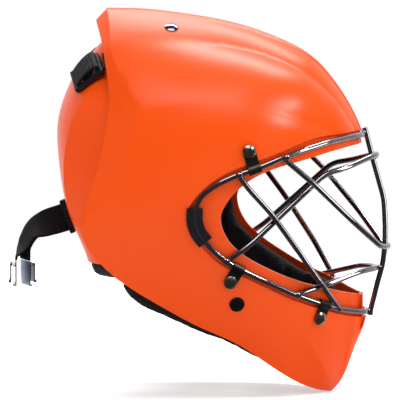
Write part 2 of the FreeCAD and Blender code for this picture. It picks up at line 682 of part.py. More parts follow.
def make_screw():
    head = domed("screw", "screw_head_radius", "screw_head_height", "screw_head_round")
    blank = posted("screw_blank", head, "screw_radius", "Sizes.screw_length")
    for turn, (long_side, short_side) in enumerate((("Length", "Width"), ("Width", "Length"))):
        cut = bound("Part::Box", "screw_socket_%d" % turn, Height="Sizes.screw_socket_depth + Sizes.overrun")
        cut.setExpression(long_side, "Sizes.screw_socket_length")
        cut.setExpression(short_side, "Sizes.screw_socket_width")
        cut.setExpression("Placement.Base.x", "-%s.Length / 2" % cut.Name)
        cut.setExpression("Placement.Base.y", "-%s.Width / 2" % cut.Name)
        cut.setExpression("Placement.Base.z", "Sizes.screw_head_height - Sizes.screw_socket_depth")
        blank = combined("Part::Cut", "screw_cut_%d" % turn, blank, cut)
    return blank


def make_nut():
    hexagon = bound("Part::Prism", "nut_blank", Circumradius="Sizes.nut_radius", Height="Sizes.nut_height")
    hexagon.Polygon = 6
    bore = bound("Part::Cylinder", "nut_bore", Radius="Sizes.nut_bore_radius", Height="Sizes.nut_height")
    return combined("Part::Cut", "nut", hexagon, bore)


def make_washer():
    disc = bound("Part::Cylinder", "washer_blank", Radius="Sizes.washer_radius", Height="Sizes.washer_height")
    bore = bound("Part::Cylinder", "washer_bore", Radius="Sizes.stud_radius", Height="Sizes.washer_height")
    return combined("Part::Cut", "washer", disc, bore)


def standing(origin, out, along=None):
    """The place of a turned piece: its axis along out, its X as near along as it can be."""
    side = out.cross(along) if along else out.cross(V(1, 0, 0))
    side.normalize()
    return FreeCAD.Placement(origin, FreeCAD.Rotation(side.cross(out), side, out, "ZXY"))


def placed(shape, place):
    copy = shape.copy()
    copy.Placement = place.multiply(copy.Placement)
    return copy


def mirror_place(place):
    """The place of the same piece on the other side of the helmet."""
    base = mirrored(place.Base)
    along, out = [mirrored(place.Rotation.multVec(axis)) for axis in (V(1, 0, 0), V(0, 0, 1))]
    return standing(base, out, along)


# Places of the cage screws in the side view, each with the place on the ring that its clip holds.
CLIP_SHARES = (
    ((0.342, 0.252), (0.370, 0.150)), ((0.207, -0.469), (0.272, -0.409)), ((0.732, -0.711), (0.761, -0.634)),
)
CAP_SHARES = (0.263, -0.608)
RIVET_SHARES = (-0.154, 0.236)


def clip_frames():
    """For each left clip: the screw's foot on the shell, the way out, the way to the ring, the ring."""
    seat = hull(-size("wire_stand"))
    along = [ring_place(seat, place) for place in RING_SHARES]
    path = rounded_path(ring_points(along), size("wire_bend"))
    frames = []
    for screw, ring in CLIP_SHARES:
        near = path.distToShape(Part.Vertex(ring_place(seat, ring)))
        target, edge, spot = near[1][0][0], near[2][0][1], near[2][0][2]
        if near[2][0][0] == "Edge":
            run = path.Edges[edge].tangentAt(spot)
        else:
            run = along[1] - along[0]
        first = ring_place(FORM, screw)
        out = side_normal(FORM, screw[0] * REACH, screw[1] * RISE)
        out = (out + side_normal(FORM, ring[0] * REACH, ring[1] * RISE)).normalize()
        run = (run - out * run.dot(out)).normalize()
        toward = run.cross(out)
        if toward.dot(target - first) < 0:
            toward = -toward
        foot = target - toward * (target - first).dot(toward)
        foot = leaves(FORM, foot - out * size("overrun"), out)
        frames.append((foot, out, toward, target))
    return frames


def make_clip(foot, out, toward, target):
    """A strip of sheet metal from under a screw over the bar of the ring and down its far side."""
    thick, width, lift = size("clip_sheet"), size("clip_width"), size("clip_lift")
    bore = size("wire_radius") + size("clip_gap")
    outside = bore + thick
    reach, depth = (target - foot).dot(toward), (target - foot).dot(out)
    sides = (-width / 2, width / 2)
    axis = V(reach, -width / 2, depth)
    tab = slab((0, reach), sides, (lift, lift + thick))
    tab = tab.fuse(Part.makeCylinder(width / 2, thick, V(0, 0, lift)))
    hoop = Part.makeCylinder(outside, width, axis, V(0, 1, 0))
    hoop = hoop.cut(slab((reach - outside, reach), sides, (depth - outside, lift)))
    hoop = hoop.cut(slab((reach, reach + outside), sides, (depth - outside, depth)))
    leg = slab((reach, reach + outside), sides, (depth - size("clip_drop"), depth))
    clip = tab.fuse(hoop).fuse(leg).cut(Part.makeCylinder(bore, width, axis, V(0, 1, 0)))
    clip = clip.cut(slab((reach - bore, reach + bore), sides, (depth - outside, depth)))
    hole = Part.makeCylinder(size("screw_hole_radius"), lift + thick, V(0, 0, 0), V(0, 0, 1))
    return placed(clip.cut(hole), standing(foot, out, toward))


# Webbing: flat bands through stations of (centre, direction across the band).
def webbing(stations, width, thick):
    wires, last = [], len(stations) - 1
    for i, (centre, across) in enumerate(stations):
        run = stations[min(i + 1, last)][0] - stations[max(i - 1, 0)][0]
        out = run.cross(across).normalize()
        side = out.cross(run).normalize() * (width / 2)
        lift = out * (thick / 2)
        corners = [centre + side + lift, centre - side + lift, centre - side - lift, centre + side - lift]
        wires.append(Part.makePolygon(corners + corners[:1]))
    return Part.makeLoft(wires, True, True)


# Left upper strap: places of its middle line between the rivet and the buckle.
UPPER_STRAP_SHARES = ((-0.330, 0.330), (-0.470, 0.385))
BUCKLE_SHARES = (-0.669, 0.410, 0.658)
BUCKLE_RUN_SHARES = (-0.620, -0.210, -0.760)
BUCKLE_ACROSS_SHARES = (0.380, 0.760, -0.520)


def buckle_place():
    """The left buckle lies on the slanted shoulder of the back plate, its X down the strap."""
    form = plate_form(0)
    near, run = in_space([BUCKLE_SHARES])[0], V(*BUCKLE_RUN_SHARES)
    out = run.cross(V(*BUCKLE_ACROSS_SHARES)).normalize() * -1
    spot = leaves(form, near - out * size("overrun"), out)
    step = size("buckle_gap")
    across = out.cross(run).normalize()
    below = near - out * size("overrun")
    a, b = [leaves(form, below + way * step, out) - spot for way in (run.normalize(), across)]
    out = a.cross(b).normalize()
    if out.x > 0:
        out = -out
    return standing(spot + out * 2 * size("fit_gap"), out, run)


BUCKLE_SLOT_SHARE = 0.20
BUCKLE_TEETH = 3
BUCKLE_TOOTH_SHARE = 0.75


def make_buckle():
    """A ladder lock: a moulded frame with a fixed top bar, a toothed middle bar and a thumb tab."""
    long, wide, thick = size("buckle_length"), size("buckle_width"), size("buckle_thickness")
    rail, gap = size("buckle_rail"), size("buckle_gap")
    frame = slab((-long / 2, long / 2), (-wide / 2, wide / 2), (0, thick))
    frame = frame.makeFillet(size("buckle_round"), frame.Edges)
    inside = (-wide / 2 + rail, wide / 2 - rail)
    for middle in (-BUCKLE_SLOT_SHARE * long, BUCKLE_SLOT_SHARE * long):
        frame = frame.cut(slab((middle - gap / 2, middle + gap / 2), inside, (-thick, 2 * thick)))
    for i in range(BUCKLE_TEETH):
        along = long / 2 - rail * (1 + BUCKLE_TOOTH_SHARE * i)
        groove = slab((along - size("buckle_tooth") / 2, along + size("buckle_tooth") / 2), inside,
                      (thick - size("buckle_tooth") / 2, 2 * thick))
        frame = frame.cut(groove)
    return frame


def make_upper_strap():
    """From the rivet under the roof back and down to the buckle."""
    x, y = RIVET_SHARES[0] * REACH, RIVET_SHARES[1] * HALF_WIDTH
    thick = size("web_thickness")
    out = roof_normal(FORM, x, y)
    rivet = on_roof(FORM, x, y) - out * (size("shell_wall") + size("strap_stand") + thick / 2)
    inside = shell_form(size("shell_wall"))
    middle = []
    for along, side in UPPER_STRAP_SHARES:
        place = on_roof(inside, along * REACH, side * HALF_WIDTH)
        slope = roof_normal(inside, along * REACH, side * HALF_WIDTH)
        middle.append(place - slope * (thick / 2 + size("strap_sag")))
    ahead = rivet - middle[0]
    ahead = (ahead - out * ahead.dot(out)).normalize() * size("strap_end")
    place = buckle_place()
    half, high = size("buckle_length") / 2, size("buckle_thickness") / 2
    room, side = half + size("strap_room"), 2 * size("fit_gap")
    end = place.multVec(V(-room, side, high))
    middle.append(place.multVec(V(-room - size("strap_end") / 2, side, thick / 2 + size("seat_gap"))))
    across = out.cross(ahead).normalize()
    last = place.Rotation.multVec(V(0, 1, 0))
    if last.dot(across) < 0:
        last = -last
    stations = [(rivet + ahead, across), (rivet, across), (rivet - ahead, across)]
    for i, point in enumerate(middle, 1):
        share = i / len(middle)
        stations.append((point, across * (1 - share) + last * share))
    stations.append((end, last))
    return webbing(stations, size("web_width"), thick)


# Lower strap: doubled webbing that comes out of the plate's slot.
TAIL_SHARES = (
    ((-0.924, 0, -0.224), (0.33, -0.40, -0.70)),
    ((-1.000, 0, -0.262), (0.35, -0.80, -0.48)), ((-1.048, 0, -0.340), (0.45, -0.88, -0.20)),
)
REAR_END_SHARES = ((-1.098, 0, -0.430), (0.10, -0.99, 0))
FRONT_END_SHARES = ((-1.046, 0, -0.430), (0.44, -0.90, 0))


def anchor_depth():
    """How far the anchor bar's middle lies inside the plate's outside."""
    strap = size("layer_gap") + size("web_thickness") + size("fit_gap")
    return size("plate_wall") + size("anchor_radius") + strap


def keeper_face():
    """The keeper's outer face, measured out from the plate."""
    return -size("keeper_stand") - size("keeper_thickness")


def make_root_strap():
    """The strap's end: a loop round the anchor bar and both layers out through the slot."""
    thick, gap = size("web_thickness"), size("layer_gap")
    pin = size("anchor_radius") + gap
    half, deep = size("strap_width") / 2, anchor_depth()
    end = keeper_face() + size("fit_gap")
    low = V(deep, 0, -half)
    strap = Part.makeCylinder(pin + thick, 2 * half, low)
    strap = strap.fuse(slab((end, deep), (-gap / 2 - thick, gap / 2 + thick), (-half, half)))
    strap = strap.cut(Part.makeCylinder(pin, 2 * half, low))
    return strap.cut(slab((end, deep), (-gap / 2, gap / 2), (-half, half)))


def make_anchor_bar():
    long = size("anchor_length")
    return Part.makeCylinder(size("anchor_radius"), long, V(anchor_depth(), 0, -long / 2))


def make_keeper():
    """A moulded loop that lies against the plate and holds the two layers together."""
    tall, wide, thick = size("keeper_height"), size("keeper_width"), size("keeper_thickness")
    back = keeper_face()
    loop = slab((back, back + thick), (-wide / 2, wide / 2), (-tall / 2, tall / 2))
    loop = loop.makeFillet(size("keeper_round"), loop.Edges)
    half = size("strap_width") / 2 + size("fit_gap")
    side = size("layer_gap") / 2 + size("web_thickness") + size("fit_gap")
    return loop.cut(slab((back - thick, back + 2 * thick), (-side, side), (-half, half)))


def make_tails(rear):
    """The two layers beyond the keeper, which part near their ends."""
    half = (size("web_thickness") + size("layer_gap")) / 2
    face = keeper_face() - size("fit_gap")
    up = rear.Rotation.multVec(V(0, 0, -1))
    root = [(rear.multVec(V(face - length, 0, 0)), up) for length in (0, size("keeper_thickness"))]
    tails = []
    for way, (end, across) in ((1, REAR_END_SHARES), (-1, FRONT_END_SHARES)):
        foot, wide = in_space([end])[0], V(*across)
        line = root + [(in_space([place])[0], V(*turn)) for place, turn in TAIL_SHARES]
        line += [(foot + V(0, 0, size("strap_end") / 2), wide), (foot, wide)]
        stations = []
        for i, (centre, wide) in enumerate(line):
            run = line[min(i + 1, len(line) - 1)][0] - line[max(i - 1, 0)][0]
            part_way = 0 if i > len(root) + len(TAIL_SHARES) - 1 else half * way
            stations.append((centre + run.cross(wide).normalize() * part_way, wide))
        tails.append(webbing(stations, size("strap_width"), size("web_thickness")))
    return tails[0].cut(tail_end(rear)), tails[1].cut(tails[0]).cut(tail_end(rear))


def tail_radius():
    """Half the thickness of both layers, which is the rounding of their end in the keeper."""
    return size("layer_gap") / 2 + size("web_thickness")


def tail_end(rear):
    """What rounds the tail's end, so that it can swing beside the keeper."""
    radius, half = tail_radius(), size("strap_width") / 2 + size("overrun")
    face = keeper_face() - size("fit_gap")
    block = slab((face - radius, face + radius), (-2 * radius, 2 * radius), (-half, half))
    round_end = Part.makeCylinder(radius, 2 * half, V(face - radius, 0, -half))
    return placed(block.cut(round_end), rear)


# Clasps for the throat guard: a sheet metal frame with a rolled bar, and a lever with a pad.
def clasp_place(end, across, facing):
    """The place of a clasp: X across it, Y out of its face, Z along the strap towards its root."""
    origin = in_space([end])[0]
    wide = V(*across).normalize() * facing
    face = V(0, 0, 1).cross(wide).normalize()
    return FreeCAD.Placement(origin, FreeCAD.Rotation(wide, face, V(0, 0, 1), "ZXY"))


CLASP_TAPER_SHARE = 0.80
CLASP_SHOULDER_SHARE = 0.45
CLASP_TEETH = 4


def make_clasp_frame():
    """Hangs from the strap's end at Z = 0 downwards; its rolled bar is at its lower end."""
    wide, thick = size("clasp_width"), size("clasp_sheet")
    top, low = -size("clasp_hang"), -size("clasp_length")
    narrow = wide * CLASP_TAPER_SHARE
    shoulder = top + low * CLASP_SHOULDER_SHARE
    right = [V(wide / 2, 0, top), V(wide / 2, 0, shoulder), V(narrow / 2, 0, low)]
    outline = right + [V(-p.x, 0, p.z) for p in reversed(right)]
    plate = Part.Face(Part.makePolygon(outline + outline[:1])).extrude(V(0, thick, 0))
    loop_low = top - size("clasp_loop")
    ears = slab((-wide / 2, wide / 2), (0, size("clasp_loop")), (loop_low - thick, loop_low))
    jaw = slab((-narrow / 2, narrow / 2), (0, size("clasp_bite")), (low - thick, low))
    frame = plate.fuse(ears).fuse(jaw)
    for i in range(CLASP_TEETH):
        middle = narrow * ((i + 1) / (CLASP_TEETH + 1) - 0.5)
        notch = slab((middle - thick / 2, middle + thick / 2),
                     (size("clasp_bite") - thick, 2 * size("clasp_bite")), (low - 2 * thick, low + thick))
        frame = frame.cut(notch)
    return frame


def make_clasp_lever():
    """Lies over the frame and turns about a pin near the strap."""
    wide = size("clasp_width") * CLASP_TAPER_SHARE
    thick, radius = size("clasp_sheet"), size("clasp_bar_radius")
    stand = clasp_pin()
    high = stand.z
    low = -size("clasp_length") + size("clasp_bite")
    plate = slab((-wide / 2, wide / 2), (stand.y, stand.y + thick), (low, high))
    knuckle = Part.makeCylinder(radius, wide, stand - V(wide / 2, 0, 0), V(1, 0, 0))
    curl = Part.makeCylinder(radius, wide, V(-wide / 2, stand.y + radius, low), V(1, 0, 0))
    return plate.fuse(knuckle).fuse(curl)


def clasp_pin():
    """The middle of the lever's pin, in the clasp's own place."""
    gap, ears = size("fit_gap"), size("clasp_loop")
    return V(0, ears + size("clasp_bar_radius") + gap, -gap - ears)


# Chin strap and cup, which hang inside the chin guard.
CUP_SHARES = (0.430, 0, -0.700)
CUP_FACE_SHARE = 0.62


def make_cup():
    """A moulded cup for the chin: part of a ball's wall, with a slot at each side."""
    centre = in_space([CUP_SHARES])[0]
    radius, wall = size("cup_radius"), size("cup_wall")
    ball = Part.makeSphere(radius, centre).cut(Part.makeSphere(radius - wall, centre))
    face = centre.x + radius * CUP_FACE_SHARE
    return ball.common(slab((face, face + radius), (-radius, radius), (centre.z - radius, centre.z + radius)))


def chin_stations():
    """The left half of the chin strap: from the stud inside the cheek to the cup's edge."""
    cheek = ring_place(FORM, CAP_SHARES)
    out = side_normal(FORM, cheek.x, cheek.z)
    stud = cheek - out * (size("shell_wall") + size("chin_web_stand") + size("chin_web_thickness") / 2)
    centre = in_space([CUP_SHARES])[0]
    radius = size("cup_radius")
    face = centre.x + radius * CUP_FACE_SHARE
    edge = V(face - size("chin_web_thickness"), math.sqrt(radius ** 2 - (face - centre.x) ** 2), centre.z)
    ahead = V(1, 0, 0)
    ahead = (ahead - out * ahead.dot(out)).normalize()
    up = out.cross(ahead)
    if up.z < 0:
        up = -up
    return [(stud - ahead * size("strap_end"), up), (stud, up), (stud + ahead * size("chin_web_run"), up),
            (edge, V(0, 0, 1))]


def build():
    """Every piece, from the shell inwards, then the straps behind it."""
    shell = make_front_shell()
    frames = clip_frames()
    thick, lift = size("shell_wall"), size("clip_lift")
    places = [standing(*frame[:3]) for frame in frames]
    places += [mirror_place(place) for place in places]
    above = FreeCAD.Placement(V(0, 0, lift + size("clip_sheet")), FreeCAD.Rotation())
    seats = [place.multiply(above) for place in places]
    under = FreeCAD.Placement(V(0, 0, -thick - size("nut_stand") - size("nut_height")), FreeCAD.Rotation())
    nut_places = [place.multiply(under) for place in places]

    cheek = ring_place(FORM, CAP_SHARES)
    cheek_out = side_normal(FORM, cheek.x, cheek.z)
    cap_place = standing(cheek + cheek_out * size("seat_gap"), cheek_out)
    roof = on_roof(FORM, RIVET_SHARES[0] * REACH, RIVET_SHARES[1] * HALF_WIDTH)
    roof_out = roof_normal(FORM, roof.x, roof.y)
    rivet_place = standing(roof + roof_out * size("seat_gap"), roof_out)
    caps, rivets = [cap_place, mirror_place(cap_place)], [rivet_place, mirror_place(rivet_place)]
    beneath = thick + 2 * size("fit_gap") + size("seat_gap") + size("washer_height")

    def below(place, depth):
        return place.multiply(FreeCAD.Placement(V(0, 0, -depth), FreeCAD.Rotation()))

    web, chin_web = size("web_thickness"), size("chin_web_thickness")
    strap_washers = [below(place, beneath + size("strap_stand") + web) for place in rivets]
    stud_washers = [below(place, beneath + size("chin_web_stand") + chin_web) for place in caps]

    deep = size("overrun")
    for radius, holes in (("screw_hole_radius", places), ("stud_hole_radius", caps + rivets)):
        drill = Part.makeCylinder(size(radius), 2 * deep, V(0, 0, -deep))
        for place in holes:
            shell = shell.cut(placed(drill, place))
    add_part("front_shell", shell)

    along, ring, centre, crossing, upper, lower, side = make_cage()
    add_part("cage_ring", ring)
    add_part("centre_bar", centre)
    add_part("crossing_bar", crossing)
    add_part("upper_loop", upper)
    add_part("lower_loop", lower)
    add_part("side_bars", side)

    clips = [make_clip(*frame) for frame in frames]
    add_part("cage_clips", solids_of([half for clip in clips for half in both_sides(clip)]))
    screw, nut, washer = make_screw(), make_nut(), make_washer()
    cap = posted("cap", domed("cap", "cap_radius", "cap_height", "cap_round"), "stud_radius",
                 "Sizes.shell_wall + 3 * Sizes.fit_gap + Sizes.chin_web_stand + Sizes.chin_web_thickness"
                 " + Sizes.washer_height")
    rivet = posted("rivet", domed("rivet", "rivet_radius", "rivet_height", "rivet_round"), "stud_radius",
                   "Sizes.shell_wall + 3 * Sizes.fit_gap + Sizes.strap_stand + Sizes.web_thickness"
                   " + Sizes.washer_height")
    doc.recompute()
    add_part("clip_screws", solids_of([placed(screw.Shape, place) for place in seats]))
    add_part("clip_nuts", solids_of([placed(nut.Shape, place) for place in nut_places]))
    add_part("cheek_studs", solids_of([placed(cap.Shape, place) for place in caps]))
    add_part("crown_rivets", solids_of([placed(rivet.Shape, place) for place in rivets]))
    add_part("rivet_washers", solids_of([placed(washer.Shape, place) for place in strap_washers]))
    add_part("stud_washers", solids_of([placed(washer.Shape, place) for place in stud_washers]))

    layer = hull(-size("sleeve_rise")).cut(hull(size("rebate_depth") - size("fit_gap")))
    sleeves = []
    for way in (1, -1):
        line = [flipped(p, way) for p in along]
        covered = line[SLEEVED[0]:SLEEVED[1]]
        covered.append((line[SLEEVED[1] - 1] + line[SLEEVED[1]]) * 0.5)
        sleeve = bar(covered, size("sleeve_radius")).common(layer)
        sleeve = sleeve.cut(bar(line[SLEEVED[0] - 1:SLEEVED[1] + 2], size("wire_radius") + size("clip_gap")))
        sleeves.append(largest(sleeve.cut(shell)))
    add_part("ring_sleeves", Part.Compound(sleeves))

    room = size("nut_clearance")
    low = V(0, 0, -2 * deep)
    pocket = Part.makeCylinder(size("nut_radius") + room, 2 * deep, low)
    well = Part.makeCylinder(size("washer_radius") + room, 2 * deep, low)
    sockets = [placed(pocket, place) for place in places] + [placed(well, place) for place in caps]
    stations = chin_stations()
    chin = webbing(stations, size("chin_web_width"), chin_web)
    wide = 2 * room
    channels = {way: webbing([(flipped(p, way), flipped(up, way)) for p, up in stations],
                             size("chin_web_width") + wide, chin_web + wide) for way in (1, -1)}
    make_pads(Part.Compound(sockets), channels)

    bore = Part.makeCylinder(size("stud_hole_radius"), 2 * deep, V(0, 0, -deep))
    chin = chin.cut(placed(bore, cap_place))
    for name, half in zip(("chin_strap_left", "chin_strap_right"), both_sides(chin)):
        add_part(name, half)
    add_part("chin_cup", make_cup())

    strap = make_upper_strap().cut(placed(bore, rivet_place))
    for name, half in zip(("upper_strap_left", "upper_strap_right"), both_sides(strap)):
        add_part(name, half)
    rear = rear_place()
    add_part("back_plate", make_back_plate(rear))
    add_part("back_pad", make_back_pad(rear))
    add_part("neck_pad", make_neck_pad())
    buckle = placed(make_buckle(), buckle_place())
    for name, half in zip(("buckle_left", "buckle_right"), both_sides(buckle)):
        add_part(name, half)
    add_part("strap_anchor_bar", placed(make_anchor_bar(), rear))
    add_part("lower_strap", placed(make_root_strap(), rear))
    add_part("strap_keeper", placed(make_keeper(), rear))
    tails = make_tails(rear)
    ends = (REAR_END_SHARES, FRONT_END_SHARES)
    for name, tail, (end, across), facing in zip(("rear", "front"), tails, ends, (-1, 1)):
        add_part("strap_tail_" + name, tail)
        place = clasp_place(end, across, facing)
        add_part("clasp_frame_" + name, placed(make_clasp_frame(), place))
        add_part("clasp_lever_" + name, placed(make_clasp_lever(), place))


build()
doc.recompute()
os.makedirs("parts", exist_ok=True)
for item in doc.Objects:
    if "Invalid" in item.State or "Error" in item.State:
        raise RuntimeError("object failed: " + item.Label)
for part in PARTS:
    if part.Shape.isNull() or not part.Shape.isValid():
        raise RuntimeError("bad shape: " + part.Label)
for part in PARTS:
    part.Shape.exportStep("parts/%s.step" % part.Label)
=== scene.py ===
import math

import bmesh
import bpy
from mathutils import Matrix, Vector
from mathutils.bvhtree import BVHTree


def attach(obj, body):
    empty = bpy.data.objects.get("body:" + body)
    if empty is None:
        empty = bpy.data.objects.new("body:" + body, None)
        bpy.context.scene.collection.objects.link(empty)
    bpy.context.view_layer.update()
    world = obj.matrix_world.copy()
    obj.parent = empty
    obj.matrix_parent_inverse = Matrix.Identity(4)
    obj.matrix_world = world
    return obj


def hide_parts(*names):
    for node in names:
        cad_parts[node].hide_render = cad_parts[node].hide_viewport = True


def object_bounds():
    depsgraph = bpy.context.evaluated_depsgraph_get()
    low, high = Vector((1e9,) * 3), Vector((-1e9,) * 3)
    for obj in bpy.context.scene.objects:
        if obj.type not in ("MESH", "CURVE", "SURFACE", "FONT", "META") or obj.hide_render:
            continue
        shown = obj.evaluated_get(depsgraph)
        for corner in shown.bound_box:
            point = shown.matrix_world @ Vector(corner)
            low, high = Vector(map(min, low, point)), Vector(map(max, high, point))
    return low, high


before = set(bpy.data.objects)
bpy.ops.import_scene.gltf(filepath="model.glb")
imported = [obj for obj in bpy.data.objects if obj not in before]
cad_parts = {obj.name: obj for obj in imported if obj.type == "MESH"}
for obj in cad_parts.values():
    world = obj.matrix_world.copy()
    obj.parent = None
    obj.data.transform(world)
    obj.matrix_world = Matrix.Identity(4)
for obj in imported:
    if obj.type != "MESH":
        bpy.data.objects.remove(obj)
cad_low, cad_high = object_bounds()
scene = bpy.context.scene

# The studio: a white floor and backdrop and six rectangular lamps, all aimed at the helmet.
# The camera stands on the wearer's right, a little ahead and above, far off as for a product shot.
PHOTO_WIDTH = 0.3448
CAMERA_DISTANCE = 5.0
CAMERA_AZIMUTH, CAMERA_ELEVATION = math.radians(4.5), math.radians(5.7)
SENSOR_WIDTH, FAR_CLIP = 36, 100
FRAME_DROP = 0.0129
FLOOR_HALF, FLOOR_GAP, FLOOR_GLOW = 1.1, 0.0005, 0.45
ROOM_DARK, ROOM_SOFT, ROOM_BRIGHT = 0.05, 0.36, 1.0
DARK_UP_TO, BRIGHT_FROM = 0.10, 0.80


def linear(code):
    """The linear colour of an sRGB hex value."""
    shares = [int(code[i:i + 2], 16) / 255 for i in (0, 2, 4)]
    return tuple(c / 12.92 if c <= 0.04045 else ((c + 0.055) / 1.055) ** 2.4 for c in shares) + (1.0,)


def add(tree, kind, links=None, values=None, **settings):
    """A new node with its settings, its values and what its inputs are linked to."""
    node = tree.nodes.new(kind)
    for key, value in settings.items():
        setattr(node, key, value)
    for key, value in (values or {}).items():
        node.inputs[key].default_value = value
    for key, source in (links or {}).items():
        tree.links.new(source, node.inputs[key])
    return node


def placed(name, data):
    """A new object of the scene that holds a mesh, a lamp or a camera."""
    holder = bpy.data.objects.new(name, data)
    scene.collection.objects.link(holder)
    return holder


def aim(holder, target):
    """Turns a lamp or camera towards a point."""
    holder.rotation_mode = "QUATERNION"
    holder.rotation_quaternion = (target - holder.location).to_track_quat("-Z", "Y")


back = Vector((math.sin(CAMERA_AZIMUTH) * math.cos(CAMERA_ELEVATION),
               -math.cos(CAMERA_AZIMUTH) * math.cos(CAMERA_ELEVATION), math.sin(CAMERA_ELEVATION)))
screen_up = back.cross(Vector((0, 0, 1)).cross(back)).normalized()
middle = screen_up * -FRAME_DROP
camera = placed("camera", bpy.data.cameras.new("camera"))
camera.data.sensor_width = SENSOR_WIDTH
camera.data.lens = SENSOR_WIDTH * CAMERA_DISTANCE / PHOTO_WIDTH
camera.data.clip_end = FAR_CLIP
camera.location = middle + back * CAMERA_DISTANCE
aim(camera, middle)
scene.camera = camera
scene.view_settings.view_transform = "Standard"

# Each lamp: its name, place, width and height, watts, and whether glossy surfaces mirror it. The
# fills only light. The cage light shines on the cage alone, which gives each bar a streak.
LAMPS = (
    ("key", (0.10, -0.66, 1.26), (1.1, 0.7), 7.4, True),
    ("brow_light", (1.20, -0.32, 0.85), (0.3, 0.3), 6.4, True),
    ("front_fill", (1.30, -1.10, 0.25), (0.8, 0.9), 2.6, False),
    ("rear_fill", (-1.25, -0.90, 0.35), (0.7, 1.1), 5.2, False),
    ("roof_light", (0.05, 0.72, 1.33), (1.5, 0.35), 18.0, True),
    ("cage_light", (1.35, -0.20, 0.05), (0.5, 0.6), 4.2, True),
)
cage_only = bpy.data.collections.new("cage_only")
for name, place, (wide, tall), power, mirrored in LAMPS:
    lamp = bpy.data.lights.new(name, "AREA")
    lamp.shape = "RECTANGLE"
    lamp.size, lamp.size_y = wide, tall
    lamp.energy = power
    holder = placed(name, lamp)
    holder.location = place
    holder.visible_glossy = mirrored
    if name == "cage_light":
        holder.light_linking.receiver_collection = cage_only
    aim(holder, Vector((0, 0, 0)))

# The camera sees white. So do reflections of what lies behind the helmet, while the room behind
# the camera is dark, which gives the plated wire its dark body and bright edges.
world = bpy.data.worlds.new("studio")
scene.world = world
world.use_nodes = True
tree = world.node_tree
tree.nodes.clear()
path = add(tree, "ShaderNodeLightPath")
toward = add(tree, "ShaderNodeTexCoord")
parts = add(tree, "ShaderNodeSeparateXYZ", {0: toward.outputs["Generated"]})
room = add(tree, "ShaderNodeMapRange", {"Value": parts.outputs["Y"]}, {
    "From Min": DARK_UP_TO, "From Max": BRIGHT_FROM, "To Min": ROOM_DARK, "To Max": ROOM_BRIGHT})
seen_in_gloss = add(tree, "ShaderNodeMath", {
    0: path.outputs["Is Glossy Ray"], 1: path.outputs["Is Transmission Ray"]}, operation="MAXIMUM")
even = add(tree, "ShaderNodeMix", {"Factor": seen_in_gloss.outputs[0], 3: room.outputs[0]},
           {2: ROOM_SOFT}, data_type="FLOAT")
strength = add(tree, "ShaderNodeMix", {"Factor": path.outputs["Is Camera Ray"], 2: even.outputs[0]},
               {3: ROOM_BRIGHT}, data_type="FLOAT")
sky = add(tree, "ShaderNodeBackground", {"Strength": strength.outputs[0]}, {"Color": linear("FFFFFF")})
add(tree, "ShaderNodeOutputWorld", {"Surface": sky.outputs[0]})


# What the materials share: grain, colour, gloss, rounded edges and relief. All lengths are metres.
def surface(name, **values):
    """A new material: its tree, its shader with plain values on the sockets, and Object coordinates."""
    material = bpy.data.materials.new(name)
    material.use_nodes = True
    tree = material.node_tree
    shader = tree.nodes["Principled BSDF"]
    for key, value in values.items():
        shader.inputs[key.replace("_", " ")].default_value = value
    return material, tree, shader, add(tree, "ShaderNodeTexCoord").outputs["Object"]


def grains(tree, place, per_metre, detail, **values):
    """The socket of a noise with so many grains to the metre."""
    noise = add(tree, "ShaderNodeTexNoise", {"Vector": place}, {"Scale": per_metre, "Detail": detail})
    for key, value in values.items():
        noise.inputs[key].default_value = value
    return noise.outputs["Fac"]


def blended(tree, factor, first, second):
    """The socket of a colour between two, by a factor socket."""
    mix = add(tree, "ShaderNodeMix", {"Factor": factor}, data_type="RGBA")
    for key, colour in ((6, first), (7, second)):
        mix.inputs[key].default_value = linear(colour)
    return mix.outputs[2]


def coloured(tree, shader, factor, first, second):
    """Gives the shader a colour between two, by a factor socket."""
    tree.links.new(blended(tree, factor, first, second), shader.inputs["Base Color"])


def glossed(tree, shader, factor, least, most):
    """Gives the shader a roughness between two values, by a factor socket."""
    span = add(tree, "ShaderNodeMapRange", {"Value": factor}, {"To Min": least, "To Max": most})
    tree.links.new(span.outputs[0], shader.inputs["Roughness"])


def eased(tree, radius):
    """The socket of a normal that rounds sharp edges off by a radius."""
    return add(tree, "ShaderNodeBevel", values={"Radius": radius}, samples=4).outputs[0]


def raised(tree, height, strength, depth, **under):
    """The socket of a normal with a relief by a height socket; Normal is what it is raised on."""
    bump = add(tree, "ShaderNodeBump", {"Height": height, **under}, {"Strength": strength, "Distance": depth})
    return bump.outputs[0]


def reliefed(tree, shader, normal):
    """Gives the shader a normal."""
    tree.links.new(normal, shader.inputs["Normal"])


# Painted board under the helmet: white, with a faint mottle that shows only close by. It glows
# a little to the camera alone, so that it merges with the backdrop round the soft shadow.
floor_paint, tree, shader, place = surface("painted_board", Roughness=0.7)
coloured(tree, shader, grains(tree, place, per_metre=6.0, detail=2.0), "FBFBFB", "FFFFFF")
ray = add(tree, "ShaderNodeLightPath")
bright = add(tree, "ShaderNodeEmission", values={"Color": linear("FFFFFF"), "Strength": FLOOR_GLOW})
both = add(tree, "ShaderNodeAddShader", {0: shader.outputs[0], 1: bright.outputs[0]})
only = add(tree, "ShaderNodeMixShader", {
    0: ray.outputs["Is Camera Ray"], 1: shader.outputs[0], 2: both.outputs[0]})
tree.links.new(only.outputs[0], tree.nodes["Material Output"].inputs["Surface"])
sheet = bpy.data.meshes.new("floor")
low = cad_low.z - FLOOR_GAP
corners = [(x * FLOOR_HALF, y * FLOOR_HALF, low) for x, y in ((-1, -1), (1, -1), (1, 1), (-1, 1))]
sheet.from_pydata(corners, [], [(0, 1, 2, 3)])
sheet.materials.append(floor_paint)
floor = placed("floor", sheet)
floor.visible_glossy = False


